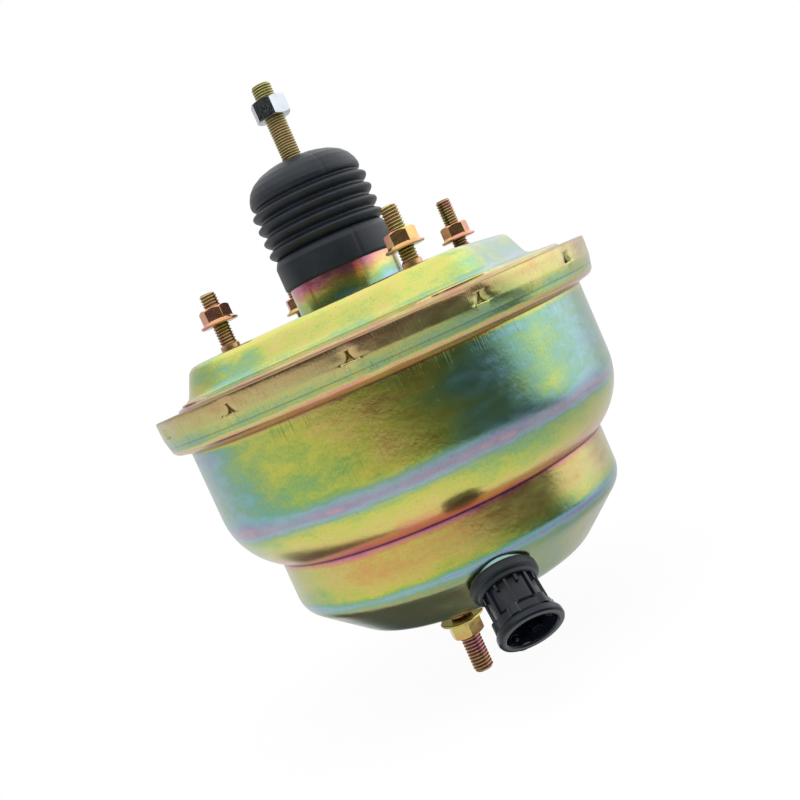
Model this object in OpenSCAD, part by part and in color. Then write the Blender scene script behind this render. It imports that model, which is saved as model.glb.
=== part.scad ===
// Dual-diaphragm vacuum brake booster with a lanced locking band.
// The origin is the centre of the firewall face, +Z runs out along the pedal rod, sizes are millimetres.

/* [Housing] */
// Outside diameter of the large chamber
body_d = 203.2; // [200:0.1:245]
// Outside diameter of the small chamber
front_d = 168.8; // [160:0.1:190]
// Thickness of the shell sheet
sheet_t = 1.6; // [1.2:0.1:2]
// How far the locking band stands out from the large chamber
band_overhang = 9.5; // [8:0.1:12]
// Height of the locking band
band_h = 19.1; // [17:0.1:24]
// How much the band narrows towards its foot, on the radius
band_taper = 1.4; // [0:0.1:1.6]
// Straight length of the large chamber
large_len = 34.9; // [28:0.1:45]
// Angle through which the step between the chambers turns
step_angle = 59; // [50:1:68]
// Straight length of the small chamber
small_len = 19.7; // [12:0.1:30]
// Radius of the rounded shoulder of the small chamber
shoulder_r = 12; // [8:0.1:16]
// Slope of the front cone, from the front face
cone_angle = 41.3; // [36:0.1:46]
// Radius where the cone blends into the front face
face_edge_r = 15.8; // [10:0.1:20]
// Radius of the flat front face
face_r = 51.5; // [51:0.1:60]

/* [Firewall side] */
// Height of the raised square platform above the shelf
platform_h = 14.2; // [12:0.1:20]
// Distance from a stud inwards to the platform's corner centre, along X and Y
stud_inset = 6.2; // [4:0.1:9]
// Corner radius at the platform's top
platform_top_r = 31.5; // [28:0.1:34]
// Corner radius at the platform's foot
platform_foot_r = 35.5; // [33:0.1:38]
// Rounding of the platform's top edge
platform_edge_r = 5; // [3:0.1:6]
// Fall of the shelf from the platform to the rim
shelf_drop = 1.4; // [0.5:0.1:2.5]
// Radius of the neck
neck_r = 27.2; // [26:0.1:33]
// Height of the neck above the firewall face
neck_h = 28.2; // [26:0.1:32]

/* [Studs] */
// Side of the square of firewall studs
stud_square = 95.4; // [84:0.1:100]
// Diameter of the firewall stud thread
stud_d = 7.94; // [6:0.01:10]
// Reach of the firewall studs above the face
stud_len = 28; // [22:0.1:40]
// Distance between the master cylinder studs
master_spacing = 85.72; // [80:0.01:88]
// Diameter of the master cylinder stud thread
master_stud_d = 9.53; // [8:0.01:12]
// Reach of the master cylinder studs beyond the front face
master_stud_len = 30.4; // [22:0.1:40]

/* [Vacuum port] */
// Direction of the port about the axis
port_angle = -63.1; // [-80:0.1:80]
// Distance of the port centre inwards from the top of the cone
port_inset = 6.3; // [5:0.1:8]
// Radius of the grommet's outer flange
grommet_r = 15.6; // [14:0.1:17]
// Radius of the port plug's barrel
plug_r = 12; // [11:0.1:13]
// Length of the port plug from the grommet to the mouth
plug_len = 22.3; // [18:0.1:30]
// Radius of the port plug's mouth
mouth_r = 10.8; // [9:0.1:11]

/* [Mechanism] */
// Travel of the power piston
stroke = 28; // [20:0.1:34]
// Travel of the valve plunger in the power piston
valve_travel = 2; // [1:0.1:3]
// Width of the seal between the neck and the power piston's tail
seal_w = 5.1; // [4:0.1:6]
// Thickness of the diaphragm rubber
rubber_t = 2; // [1.5:0.1:2.4]
// Width of the rolling fold between a diaphragm plate and its shell
fold_w = 14; // [12:0.1:16]
// Diameter of the pedal rod
rod_d = 10; // [8:0.1:12]
// Height of the pedal rod's tip above the firewall face
rod_tip = 110.6; // [105:0.1:140]
// Diameter of the output rod
output_d = 11; // [9:0.1:13]
// Reach of the output rod's tip beyond the front face
output_reach = 9; // [4:0.1:12]
// Wire diameter of the return spring
spring_wire = 4.2; // [3:0.1:5]

/* [Boot] */
// Thickness of the boot's cuff
cuff_t = 1.85; // [1.2:0.05:2.5]
// How far the folds stand out from the cuff
fold_rise = 0.6; // [0:0.1:1.5]
// Number of folds in the boot
boot_folds = 4; // [3:1:5]

/* [Hidden] */
$fn = 96;

// Clearances
fit_gap = 0.05;
run_gap = 0.3;
eps = 0.01;

// Housing levels, from the firewall face down to the front face
body_r = body_d / 2;
front_r = front_d / 2;
band_r = body_r + band_overhang;
band_corner_r = 4;
band_foot_rise = 1.2;
platform_c = stud_square / 2 - stud_inset;
tail_r = neck_r - sheet_t - seal_w;
rim_below_band = 1.3;
z_shelf = -platform_h;
z_rim = z_shelf - shelf_drop;
z_band_top = z_rim - rim_below_band;
z_crease = z_band_top - band_h;
z_step_top = z_crease - large_len;
step_r = (body_r - front_r) / (1 - cos(step_angle));
z_step = z_step_top - step_r * sin(step_angle);
z_shoulder = z_step - small_len;
cone_top_r = front_r - shoulder_r * (1 - sin(cone_angle));
z_cone_top = z_shoulder - shoulder_r * cos(cone_angle);
cone_end_r = face_r + face_edge_r * sin(cone_angle);
z_cone_end = z_cone_top - (cone_top_r - cone_end_r) * tan(cone_angle);
z_front = z_cone_end - face_edge_r * (1 - cos(cone_angle));

// Register pocket for the master cylinder's nose, drawn into the front face
pocket_r = 20;
pocket_depth = 9;
z_pocket = z_front + pocket_depth;
output_r = output_d / 2;
output_hole_r = output_r + 1.5;

// Joint between the shells: the outer bead is clamped under the rear shell's flange
bead_h = 3.2;
outer_bead_h = 6.2;
z_bead = z_crease + band_foot_rise + sheet_t + 0.1;
z_flange = z_bead + outer_bead_h + sheet_t;
bead_r = band_r - band_taper - band_corner_r + 0.3;
flange_r = band_r - band_taper - sheet_t - 0.5;
rim_r = body_r - 2.2;
wall_r = body_r - sheet_t;
lance_count = 12;
lance_start = 14;
lance_w = 6;
lance_h = 5.6;
lance_flap_t = 1.3;

// Firewall side pieces
plate_t = 3;
stop_collar_h = 4.1;
stop_collar_r = tail_r + 8.5;
z_rear_plate = -sheet_t - plate_t;
stud_r = stud_d / 2;
collar_r = stud_r + 0.63;
collar_h = 3;
shank_r = collar_r + 0.4;
head_r = stud_r + 4;
head_h = 3.4;
nut_flange_t = 1.6;
nut_h = 8.3;
nut_flat = 1.6 * stud_d;
nut_flange_r = nut_flat / sqrt(3) + 1.7;
// How far up each stud its nut is screwed, in the order of stud_corners
nut_z = [8.5, 12.9, 6.4, 6.9];
stud_corners = [[1, -1], [-1, -1], [1, 1], [-1, 1]];

// Front side pieces
master_r = master_stud_d / 2;
master_collar_r = master_r + 0.6;
master_collar_h = 3;
master_shank_r = master_collar_r + 0.4;
master_head_r = master_r + 3.6;
master_nut_flat = 1.5 * master_stud_d;
master_nut_h = 8.9;
master_nut_flange_r = master_nut_flat / sqrt(3) + 2.3;
master_nut_gap = 0.5;
z_front_plate = z_front + sheet_t + plate_t;

// Stack on the power piston, from the stop key forwards
key_t = 3;
z_key = z_rear_plate - stop_collar_h - run_gap;
key_room = 4.5;
clip_t = 2;
hub_bead_h = 4;
hub_bead_w = 3.5;
pressed_t = 1.2;
z_clip = z_key - key_t - key_room;
z_rear_hub = z_clip - clip_t;
z_rear_disc = z_rear_hub - hub_bead_h;
z_piston_flange = z_rear_disc - pressed_t;
piston_flange_t = 4;
piston_flange_r = tail_r + 9.5;
rear_plate_r = wall_r - fold_w;
skirt_h = 12;

// Divider between the chambers
divider_gap = 3;
seal_h = 7.5;
seal_rise = 1;
z_divider = z_piston_flange - piston_flange_t - stroke - divider_gap;
divider_bore_r = tail_r + 5.5;
z_divider_seal = z_divider + seal_rise - seal_h;
seat_angle = 26.5;
step_cx = body_r - step_r;
seat_r = step_cx + (step_r - sheet_t) * cos(seat_angle);
z_seat = z_step_top - (step_r - sheet_t) * sin(seat_angle);
divider_flat_r = front_r - sheet_t - fold_w + 1.5;

// Front of the power piston
reaction_r = 12.8;
nose_r = reaction_r + 4.2;
nose_len = 17;
z_nose = z_divider_seal - 1.8;
z_front_disc = z_nose - rubber_t;
z_front_nut = z_front_disc - pressed_t;
front_nut_t = 4;
front_plate_r = front_r - sheet_t - fold_w;
z_nose_end = z_nose - nose_len;
reaction_t = 4;
reaction_bore = 12;
z_reaction = z_nose_end + reaction_bore;
output_head_t = 4;
z_output_head = z_reaction - reaction_t;
output_clip_t = 0.8;

// Guide and seal in the neck
guide_z = [3, 9];
neck_seal_z = [10, 17];
neck_washer_t = 2;

// Valve inside the tail
rod_r = rod_d / 2;
ball_r = 4.2;
neck_shank_r = 3;
bore_r = tail_r - 4;
plunger_r = 6;
plunger_core_r = 4;
air_seat_r = 8.5;
z_air_seat = 3;
air_seat_t = 4;
z_ball = z_air_seat - 4;
groove_top = z_key + valve_travel + run_gap;
groove_foot = z_key - key_t - run_gap;
z_plunger_tip = z_reaction + valve_travel + run_gap;
valve_chamber_r = air_seat_r + 1.5;
vacuum_seat_w = 1.5;
vacuum_seat_h = 1.4;
valve_lift = 1.1;
z_vacuum_seat = z_air_seat - valve_lift;
poppet_r = valve_chamber_r + vacuum_seat_w + 0.5;
poppet_t = 2.4;
z_poppet_top = 16;
poppet_bead_h = 3;
retainer_t = 2;
z_retainer = z_poppet_top + retainer_t;
retainer_bore_r = rod_r + 3;
rod_spring_len = 13;
washer_t = 1.2;
washer_r = rod_r + 4.5;
rod_wire = 1.4;
poppet_wire = 1;
filter_h = 10;
filter_cap_t = 2;
tail_h = neck_seal_z[1] + stroke + 3;
z_filter_cap = tail_h - 1;
filter_bore_r = rod_r + 2.8;

// Pedal rod pieces
rod_nut_z = 93.7;
rod_nut_h = 9.3;
rod_nut_flat = rod_d + 6;
rod_lead_r = rod_r - 0.2;

// Boot levels
cuff_r = neck_r + fit_gap + cuff_t;
fold_r = cuff_r + fold_rise;
cuff_z = [14.9, 30.3];
cuff_lip = 0.7;
fold_depth = 3;
dome_z = 57.2;
dome_top = 72;
dome_r = cuff_r - 0.9;
boot_wall = 1.9;

// Vacuum port
port_radial = cone_top_r - port_inset;
z_port = z_cone_top - port_inset * tan(cone_angle);
boss_r = grommet_r + 0.6;
boss_rise = 0.8;
grommet_neck_r = 11;
grommet_bore_r = 8;
grommet_t = 5;
grommet_lip_t = 3;
collar_lip_w = 1.4;
collar_lip_h = 1.1;
plug_floor_t = 3;
rim_w = 3.1;
rim_h = 5;

steel_gold = [0.78, 0.74, 0.36];
steel_pink = [0.80, 0.62, 0.42];
steel_bare = [0.62, 0.63, 0.65];
rubber = [0.13, 0.14, 0.15];
plastic = [0.82, 0.78, 0.66];

// Profile helpers: a line of [r, z] points is offset to its right, looking along it

function unit(v) = v / norm(v);
function side(p, i) = let (d = unit(p[i + 1] - p[i])) [d[1], -d[0]];
function miter(p, i) = let (
    a = side(p, max(i - 1, 0)),
    b = side(p, min(i, len(p) - 2)))
    (a + b) / (1 + a * b);
function offset_line(p, t) = [for (i = [0:len(p) - 1]) p[i] + t * miter(p, i)];
function reversed(p) = [for (i = [len(p) - 1:-1:0]) p[i]];
function ribbon(p, t) = concat(p, reversed(offset_line(p, t)));
function arc(c, r, a0, a1, n) = [for (i = [0:n]) let (a = a0 + (a1 - a0) * i / n) c + r * [cos(a), sin(a)]];

// A ring of rectangular section between two radii and two levels
module ring(r_in, r_out, z_low, z_high) {
    translate([0, 0, z_low])
        difference() {
            cylinder(r = r_out, h = z_high - z_low);
            translate([0, 0, -1]) cylinder(r = r_in, h = z_high - z_low + 2);
        }
}

// A plain cylinder between two levels
module rod(r, z_low, z_high) {
    translate([0, 0, z_low]) cylinder(r = r, h = z_high - z_low);
}

// A pressed sheet or moulded skin of revolution, from the line of its outer side
module pressed(line, t) {
    rotate_extrude() polygon(ribbon(line, t));
}

// A compression spring with one closed turn at each end, its radius changing from r0 to r1
function spring_lift(u, turns, wire, len) = let (
    closed = wire + 0.2,
    pitch = (len - wire - 2 * closed) / (turns - 2))
    wire / 2 + closed * min(u, 1) + pitch * min(max(u - 1, 0), turns - 2)
    + closed * max(0, u - (turns - 1));

module spring(r0, r1, z_low, z_high, turns, wire, steps, sides) {
    last = round(turns * steps);
    points = [for (i = [0:last], j = [0:sides - 1]) let (
        u = i / steps,
        r = r0 + (r1 - r0) * i / last + wire / 2 * cos(360 * j / sides))
        [r * cos(360 * u), r * sin(360 * u),
         z_low + spring_lift(u, turns, wire, z_high - z_low) + wire / 2 * sin(360 * j / sides)]];
    walls = [for (i = [0:last - 1], j = [0:sides - 1]) let (k = (j + 1) % sides)
        [i * sides + j, i * sides + k, (i + 1) * sides + k, (i + 1) * sides + j]];
    near = [[for (j = [sides - 1:-1:0]) j]];
    far = [[for (j = [0:sides - 1]) last * sides + j]];
    polyhedron(points, concat(walls, near, far));
}

// Front shell: locking band, two chambers, cone, front face and register pocket

front_line = concat(
    [[band_r, z_band_top]],
    arc([band_r - band_taper - band_corner_r, z_crease + band_foot_rise + band_corner_r],
        band_corner_r, 0, -90, 6),
    [[body_r, z_crease]],
    arc([step_cx, z_step_top], step_r, 0, -step_angle, 12),
    arc([front_r - shoulder_r, z_shoulder], shoulder_r, 0, cone_angle - 90, 8),
    arc([face_r, z_front + face_edge_r], face_edge_r, cone_angle - 90, -90, 6),
    [[pocket_r, z_front], [pocket_r, z_pocket], [output_hole_r, z_pocket]]);

module front_fill(o) {
    line = offset_line(front_line, o);
    rotate_extrude()
        polygon(concat([[line[0][0], z_band_top + o]], line, [[0, z_pocket + o], [0, z_band_top + o]]));
}

// A frame on the cone, its Z axis along the cone's normal, with its origin on the sheet
module at_port() {
    rotate([0, 0, port_angle])
        translate([port_radial, 0, z_port])
            rotate([0, 180 - cone_angle, 0])
                children();
}

lance_r = band_r - 0.64 * band_taper;

// A half cone above each slit of the band, its base of radius r on the clamped flange
module lances(r) {
    for (i = [0:lance_count - 1])
        rotate([0, 0, lance_start + 360 * i / lance_count])
            translate([lance_r, 0, z_flange + fit_gap])
                cylinder(r1 = r, r2 = 0, h = lance_h * 2 * r / lance_w);
}

module front_shell() {
    color(steel_gold)
        difference() {
            union() {
                difference() {
                    union() {
                        front_fill(0);
                        at_port() rod(boss_r, -face_edge_r / 2, boss_rise);
                    }
                    front_fill(sheet_t);
                    at_port() rod(boss_r - sheet_t, -face_edge_r, boss_rise - sheet_t);
                    at_port() rod(grommet_neck_r, -face_edge_r, face_edge_r);
                    rod(output_hole_r, z_pocket - 1, z_pocket + sheet_t + 1);
                    for (s = [-1, 1])
                        translate([0, s * master_spacing / 2, 0])
                            rod(master_shank_r, z_front - 1, z_front + sheet_t + 1);
                }
                intersection() {
                    front_fill(0);
                    lances(lance_w / 2 + lance_flap_t);
                }
            }
            lances(lance_w / 2);
        }
}

// Rear shell: rounded-square platform, shelf, rim, clamped flange and neck

rim_edge_r = 1.6;
rear_line = concat(
    [[0, z_shelf], [platform_c, z_shelf], [rim_r - rim_edge_r, z_rim]],
    arc([rim_r - rim_edge_r, z_rim - rim_edge_r], rim_edge_r, 60, 0, 3),
    [[rim_r, z_flange], [flange_r, z_flange]]);

// The platform, drawn in by o
module platform(o, z_foot) {
    hull()
        for (s = [-1, 1], q = [-1, 1])
            translate([s * platform_c, q * platform_c, 0])
                rotate_extrude($fn = 40)
                    polygon(concat(
                        [[0, z_foot], [platform_foot_r - o, z_foot], [platform_foot_r - o, z_shelf + 1]],
                        arc([platform_top_r - platform_edge_r, -platform_edge_r],
                            platform_edge_r - o, 8, 90, 5),
                        [[0, -o]]));
}

// The flare at the platform's foot
module platform_flare(o, z_foot) {
    flare = 3.5;
    hull()
        for (s = [-1, 1], q = [-1, 1])
            translate([s * platform_c, q * platform_c, 0])
                rotate_extrude($fn = 40)
                    polygon([[0, z_foot], [platform_foot_r + flare - o, z_foot],
                             [platform_foot_r + flare - o, z_shelf - 0.4 * o],
                             [platform_foot_r - o, z_shelf + flare - 0.4 * o], [0, z_shelf + flare]]);
}

module rear_shell() {
    line = rear_line;
    inner = offset_line(line, sheet_t);
    color(steel_gold)
        difference() {
            union() {
                rotate_extrude()
                    polygon(concat(line, [[flange_r, z_flange - sheet_t], [0, z_flange - sheet_t]]));
                platform(0, z_shelf - 2);
                platform_flare(0, z_shelf - 2);
                rod(neck_r, z_shelf, neck_h);
                rotate_extrude()
                    polygon(concat([[neck_r - 1, -1]], [[neck_r + 1.5, 0]],
                        arc([neck_r + 1.5, 1.5], 1.5, 270, 180, 3), [[neck_r - 1, 1.5]]));
            }
            rotate_extrude()
                polygon(concat([for (i = [0:len(inner) - 3]) inner[i]],
                    [[rim_r - sheet_t, z_flange - sheet_t - 1], [0, z_flange - sheet_t - 1]]));
            platform(sheet_t, z_shelf - 6);
            platform_flare(sheet_t, z_shelf - 6);
            rod(neck_r - sheet_t, z_shelf - 6, neck_h + 1);
            for (c = stud_corners)
                translate([c[0] * stud_square / 2, c[1] * stud_square / 2, 0])
                    rod(shank_r, -sheet_t - 1, 1);
        }
}

// Plates that spread the load of the studs

module front_reinforcement_plate() {
    color(steel_bare)
        difference() {
            rod(face_r - run_gap, z_front + sheet_t, z_front_plate);
            rod(pocket_r + sheet_t + run_gap, z_front, z_front_plate + 1);
            for (s = [-1, 1])
                translate([0, s * master_spacing / 2, 0])
                    rod(master_shank_r, z_front, z_front_plate + 1);
        }
}

module rear_reinforcement_plate() {
    half = platform_c + platform_top_r - 13;
    color(steel_bare)
        difference() {
            union() {
                intersection() {
                    translate([-half, -half, z_rear_plate]) cube([2 * half, 2 * half, plate_t]);
                    rod(half + 20, z_rear_plate, -sheet_t);
                }
                rod(stop_collar_r, z_rear_plate - stop_collar_h, z_rear_plate);
            }
            rod(stop_collar_r - 3, z_rear_plate - stop_collar_h - 1, 0);
            for (c = stud_corners)
                translate([c[0] * stud_square / 2, c[1] * stud_square / 2, 0])
                    rod(shank_r, z_rear_plate - 1, 0);
        }
}

// Studs and nuts

// A stud along +Z with its head below the sheet, a press shank, a locating collar and the thread
module stud(r, len, collar, collar_h, shank, depth, head, head_h) {
    chamfer = 0.8;
    rotate_extrude()
        polygon([[0, -depth - head_h], [head, -depth - head_h], [head, -depth], [shank, -depth],
                 [shank, 0], [collar, 0], [collar, collar_h], [r, collar_h + 0.4],
                 [r, len - chamfer], [r - chamfer, len], [0, len]]);
}

module firewall_studs() {
    color(steel_pink)
        for (c = stud_corners)
            translate([c[0] * stud_square / 2, c[1] * stud_square / 2, 0])
                stud(stud_r, stud_len, collar_r, collar_h, shank_r, sheet_t + plate_t, head_r, head_h);
}

module master_studs() {
    color(steel_pink)
        for (s = [-1, 1])
            translate([0, s * master_spacing / 2, z_front])
                mirror([0, 0, 1])
                    stud(master_r, master_stud_len, master_collar_r, master_collar_h, master_shank_r,
                         sheet_t + plate_t, master_head_r, head_h);
}

// A hexagon nut with its washer face down, chamfered at the top corners
module flange_nut(r_bore, flat, h, flange, flange_t) {
    corner = flat / sqrt(3);
    difference() {
        union() {
            intersection() {
                cylinder(r = corner, h = h, $fn = 6);
                rotate_extrude()
                    polygon([[0, 0], [corner + 1, 0], [corner + 1, h - 2.2], [corner - 1.2, h], [0, h]]);
            }
            rotate_extrude()
                polygon([[0, 0], [flange, 0], [flange, flange_t * 0.55],
                         [corner - 0.4, flange_t + 1], [0, flange_t + 1]]);
        }
        translate([0, 0, -1]) cylinder(r = r_bore + fit_gap, h = h + 2);
    }
}

module firewall_stud_nuts() {
    color(steel_pink)
        for (i = [0:3])
            translate([stud_corners[i][0] * stud_square / 2, stud_corners[i][1] * stud_square / 2, nut_z[i]])
                rotate([0, 0, 20 * i])
                    flange_nut(stud_r, nut_flat, nut_h, nut_flange_r, nut_flange_t);
}

module master_stud_nuts() {
    color(steel_gold)
        for (s = [-1, 1])
            translate([0, s * master_spacing / 2, z_front - master_collar_h - master_nut_gap])
                mirror([0, 0, 1])
                    flange_nut(master_r, master_nut_flat, master_nut_h, master_nut_flange_r, nut_flange_t);
}

// Centre divider and its seal

z_divider_rim = z_seat + bead_h + sheet_t;
divider_line = [
    [divider_bore_r, z_divider_seal - 0.5],
    [divider_bore_r, z_divider],
    [divider_flat_r, z_divider],
    [seat_r - 9, z_divider_rim],
    [seat_r - 0.8 - sheet_t, z_divider_rim],
    [wall_r - run_gap - sheet_t, z_step_top - 0.5],
    [wall_r - run_gap - sheet_t, z_step_top + 2.5]];

module centre_divider() {
    color(steel_bare) pressed(divider_line, sheet_t);
}

module divider_seal() {
    lip = 2.2;
    color(rubber)
        rotate_extrude()
            polygon([[tail_r + run_gap, z_divider_seal], [divider_bore_r - fit_gap, z_divider_seal],
                     [divider_bore_r - fit_gap, z_divider + seal_rise], [tail_r + run_gap, z_divider + seal_rise],
                     [tail_r + run_gap, z_divider - lip], [tail_r + run_gap + 1.6, z_divider - lip - 0.8],
                     [tail_r + run_gap + 1.6, z_divider_seal + 1.2], [tail_r + run_gap, z_divider_seal + 0.8]]);
}

// Diaphragms: hub on the piston, flat on the plate, rolling fold, bead clamped in the housing

function roll(r_in, r_out, z) = let (m = (r_in + r_out) / 2) arc([m, z], (r_out - r_in) / 2, 180, 360, 8);

module front_diaphragm() {
    inner_r = front_plate_r + rubber_t;
    outer_r = front_r - sheet_t - run_gap - rubber_t;
    z_fold = z_step - 4;
    on_step = step_r - sheet_t - 2 * run_gap - rubber_t;
    upper = concat(
        [[nose_r + fit_gap, z_nose], [inner_r, z_nose]],
        roll(inner_r, outer_r, z_fold),
        arc([step_cx, z_step_top], on_step, -acos((outer_r + 0.3 - step_cx) / on_step),
            -seat_angle - 1, 8));
    bead_out = seat_r - run_gap;
    color(rubber) {
        pressed(upper, rubber_t);
        ring(bead_out - 6.5, bead_out, z_seat, z_seat + bead_h);
    }
}

module rear_diaphragm() {
    inner_r = rear_plate_r + rubber_t;
    outer_r = wall_r - run_gap - rubber_t;
    z_fold = z_crease - 4;
    upper = concat(
        [[tail_r + fit_gap, z_rear_disc + rubber_t], [inner_r, z_rear_disc + rubber_t]],
        roll(inner_r, outer_r, z_fold),
        [[outer_r, z_bead + 1]]);
    color(rubber) {
        pressed(upper, rubber_t);
        ring(outer_r, bead_r, z_bead, z_bead + outer_bead_h);
        ring(tail_r + fit_gap, tail_r + hub_bead_w, z_rear_disc + eps, z_rear_hub);
    }
}

// Diaphragm plates, pressed with a step and a turned-down skirt

module diaphragm_plate(hub_r, out_r, z_top) {
    dish = 2.5;
    pressed([[hub_r, z_top], [hub_r + 16, z_top], [hub_r + 20, z_top - dish],
             [out_r - 12, z_top - dish], [out_r - 8, z_top],
             [out_r - 1.5, z_top], [out_r, z_top - 1.5], [out_r, z_top - skirt_h]], pressed_t);
}

module front_diaphragm_plate() {
    color(steel_bare)
        difference() {
            diaphragm_plate(nose_r + fit_gap, front_plate_r, z_front_disc);
            for (i = [0:5])
                rotate([0, 0, 60 * i])
                    translate([(nose_r + front_plate_r) / 2 + 6, 0, 0])
                        rod(2.5, z_front_disc - 5, z_front_disc + 1);
        }
}

module rear_diaphragm_plate() {
    color(steel_bare) diaphragm_plate(tail_r + fit_gap, rear_plate_r, z_rear_disc);
}

module front_diaphragm_nut() {
    color(steel_bare)
        difference() {
            translate([0, 0, z_front_nut - front_nut_t])
                cylinder(r = nose_r + 8, h = front_nut_t, $fn = 6);
            rod(nose_r + fit_gap, z_front_nut - front_nut_t - 1, z_front_nut + 1);
        }
}

module rear_diaphragm_clip() {
    color(steel_bare)
        difference() {
            ring(tail_r + fit_gap, tail_r + 6, z_rear_hub, z_clip);
            for (i = [0:7])
                rotate([0, 0, 45 * i + 22.5])
                    translate([tail_r + 6.5, 0, 0])
                        rod(2.4, z_rear_hub - 1, z_clip + 1);
        }
}

// Power piston: tail, flange, front nose, valve bores, air and vacuum passages

piston_line = [
    [valve_chamber_r, z_vacuum_seat], [valve_chamber_r + vacuum_seat_w, z_vacuum_seat],
    [valve_chamber_r + vacuum_seat_w + 0.4, z_vacuum_seat - vacuum_seat_h],
    [bore_r, z_vacuum_seat - vacuum_seat_h], [bore_r, tail_h], [tail_r - 0.8, tail_h],
    [tail_r, tail_h - 0.8], [tail_r, z_piston_flange], [piston_flange_r, z_piston_flange],
    [piston_flange_r, z_piston_flange - piston_flange_t],
    [tail_r, z_piston_flange - piston_flange_t], [tail_r, z_nose], [nose_r, z_nose],
    [nose_r, z_nose_end + 1], [nose_r - 1, z_nose_end], [reaction_r, z_nose_end],
    [reaction_r, z_reaction], [plunger_r + run_gap, z_reaction],
    [plunger_r + run_gap, z_air_seat - air_seat_t - valve_travel - 0.5],
    [valve_chamber_r, z_air_seat - air_seat_t - valve_travel - 0.5]];

module power_piston() {
    slot_w = 16.6;
    pocket_out = tail_r - 3;
    color(plastic)
        difference() {
            rotate_extrude() polygon(piston_line);
            translate([-8, -slot_w / 2, z_key - key_t - 0.2]) cube([60, slot_w, key_t + 0.4]);
            for (i = [0:2])
                rotate([0, 0, 120 * i + 60])
                    translate([(valve_chamber_r + pocket_out) / 2 + 0.9, 0, 0])
                        rod(1.9, z_piston_flange - piston_flange_t - 12, z_vacuum_seat + 1);
        }
}

// Spring, output rod, reaction disc

spring_r = pocket_r + 10;
z_spring = [z_front_plate, z_front_nut];

module return_spring() {
    color(steel_bare)
        spring(spring_r, spring_r, z_spring[0], z_spring[1], 6.5, spring_wire, 20, 8);
}

module reaction_disc() {
    color(rubber)
        difference() {
            rod(reaction_r - fit_gap, z_output_head, z_reaction);
            rod(2, z_reaction - 0.6, z_reaction + 1);
        }
}

z_screw = z_front - output_reach;
screw_neck_r = 3.2;
screw_head_h = 4;
screw_tip_h = 5;
z_screw_head = z_screw + screw_tip_h + 1.2;

module output_rod() {
    z_end = z_screw_head + screw_head_h + 1.5;
    color(steel_bare)
        difference() {
            rotate_extrude()
                polygon([[0, z_output_head], [reaction_r - fit_gap, z_output_head],
                         [reaction_r - fit_gap, z_output_head - output_head_t],
                         [output_r + 1.2, z_output_head - output_head_t],
                         [output_r, z_output_head - output_head_t - 1.2],
                         [output_r, z_end + 1], [output_r - 1, z_end], [0, z_end]]);
            rod(screw_neck_r + fit_gap, z_end - 1, z_end + 14);
        }
}

module output_rod_clip() {
    z_top = z_output_head - output_head_t - 0.2;
    color(steel_bare)
        difference() {
            ring(output_r + 2, reaction_r - fit_gap, z_top - output_clip_t, z_top);
            for (i = [0:5])
                rotate([0, 0, 60 * i]) translate([0, -0.6, z_top - 2]) cube([reaction_r - 1.6, 1.2, 4]);
        }
}

module output_rod_screw() {
    tip_r = 3.6;
    color(steel_bare) {
        rod(screw_neck_r, z_screw_head, z_screw_head + screw_head_h + 12);
        translate([0, 0, z_screw_head]) cylinder(r = 5.2, h = screw_head_h, $fn = 6);
        rotate_extrude()
            polygon(concat([[0, z_screw_head], [tip_r, z_screw_head], [tip_r, z_screw + 1.2]],
                [[tip_r - 0.5, z_screw + 0.5], [tip_r - 1.4, z_screw + 0.1], [0, z_screw]]));
    }
}

seal_cup_r = output_r + 8.5;
z_cup = z_pocket + sheet_t;

module output_rod_seal() {
    color(rubber)
        rotate_extrude()
            polygon([[output_r + run_gap, z_cup], [seal_cup_r - 1.2, z_cup], [seal_cup_r - 1.2, z_cup + 6],
                     [output_r + run_gap + 2, z_cup + 6], [output_r + run_gap, z_cup + 4.6],
                     [output_r + run_gap, z_cup + 3], [output_r + run_gap + 0.9, z_cup + 2.2],
                     [output_r + run_gap + 0.9, z_cup + 1.4], [output_r + run_gap, z_cup + 0.8]]);
}

module output_seal_cup() {
    color(steel_bare)
        pressed([[output_r + 3, z_cup + 7.1], [seal_cup_r, z_cup + 7.1], [seal_cup_r, z_cup + 1],
                 [pocket_r - 0.5, z_cup + 1]], 1);
}

// Valve pieces

module valve_plunger() {
    color(steel_bare)
        difference() {
            rotate_extrude()
                polygon([[0, z_plunger_tip], [plunger_r - 1, z_plunger_tip], [plunger_r, z_plunger_tip + 1],
                         [plunger_r, groove_foot], [plunger_core_r, groove_foot],
                         [plunger_core_r, groove_top], [plunger_r, groove_top],
                         [plunger_r, z_air_seat - air_seat_t], [air_seat_r - 1, z_air_seat - air_seat_t],
                         [air_seat_r, z_air_seat - air_seat_t + 1], [air_seat_r, z_air_seat - 0.4],
                         [air_seat_r - 1, z_air_seat], [0, z_air_seat]]);
            rod(ball_r + 0.2, z_ball, z_air_seat + 1);
            translate([0, 0, z_ball]) sphere(r = ball_r + 0.2);
        }
}

module stop_key() {
    key_w = 16;
    reach = stop_collar_r - 0.5;
    color(steel_bare)
        difference() {
            translate([-7.5, -key_w / 2, z_key - key_t]) cube([reach + 7.5, key_w, key_t]);
            translate([-8, -plunger_core_r - 0.2, z_key - key_t - 1])
                cube([8, 2 * plunger_core_r + 0.4, key_t + 2]);
            rod(plunger_core_r + 0.2, z_key - key_t - 1, z_key + 1);
        }
}

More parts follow.
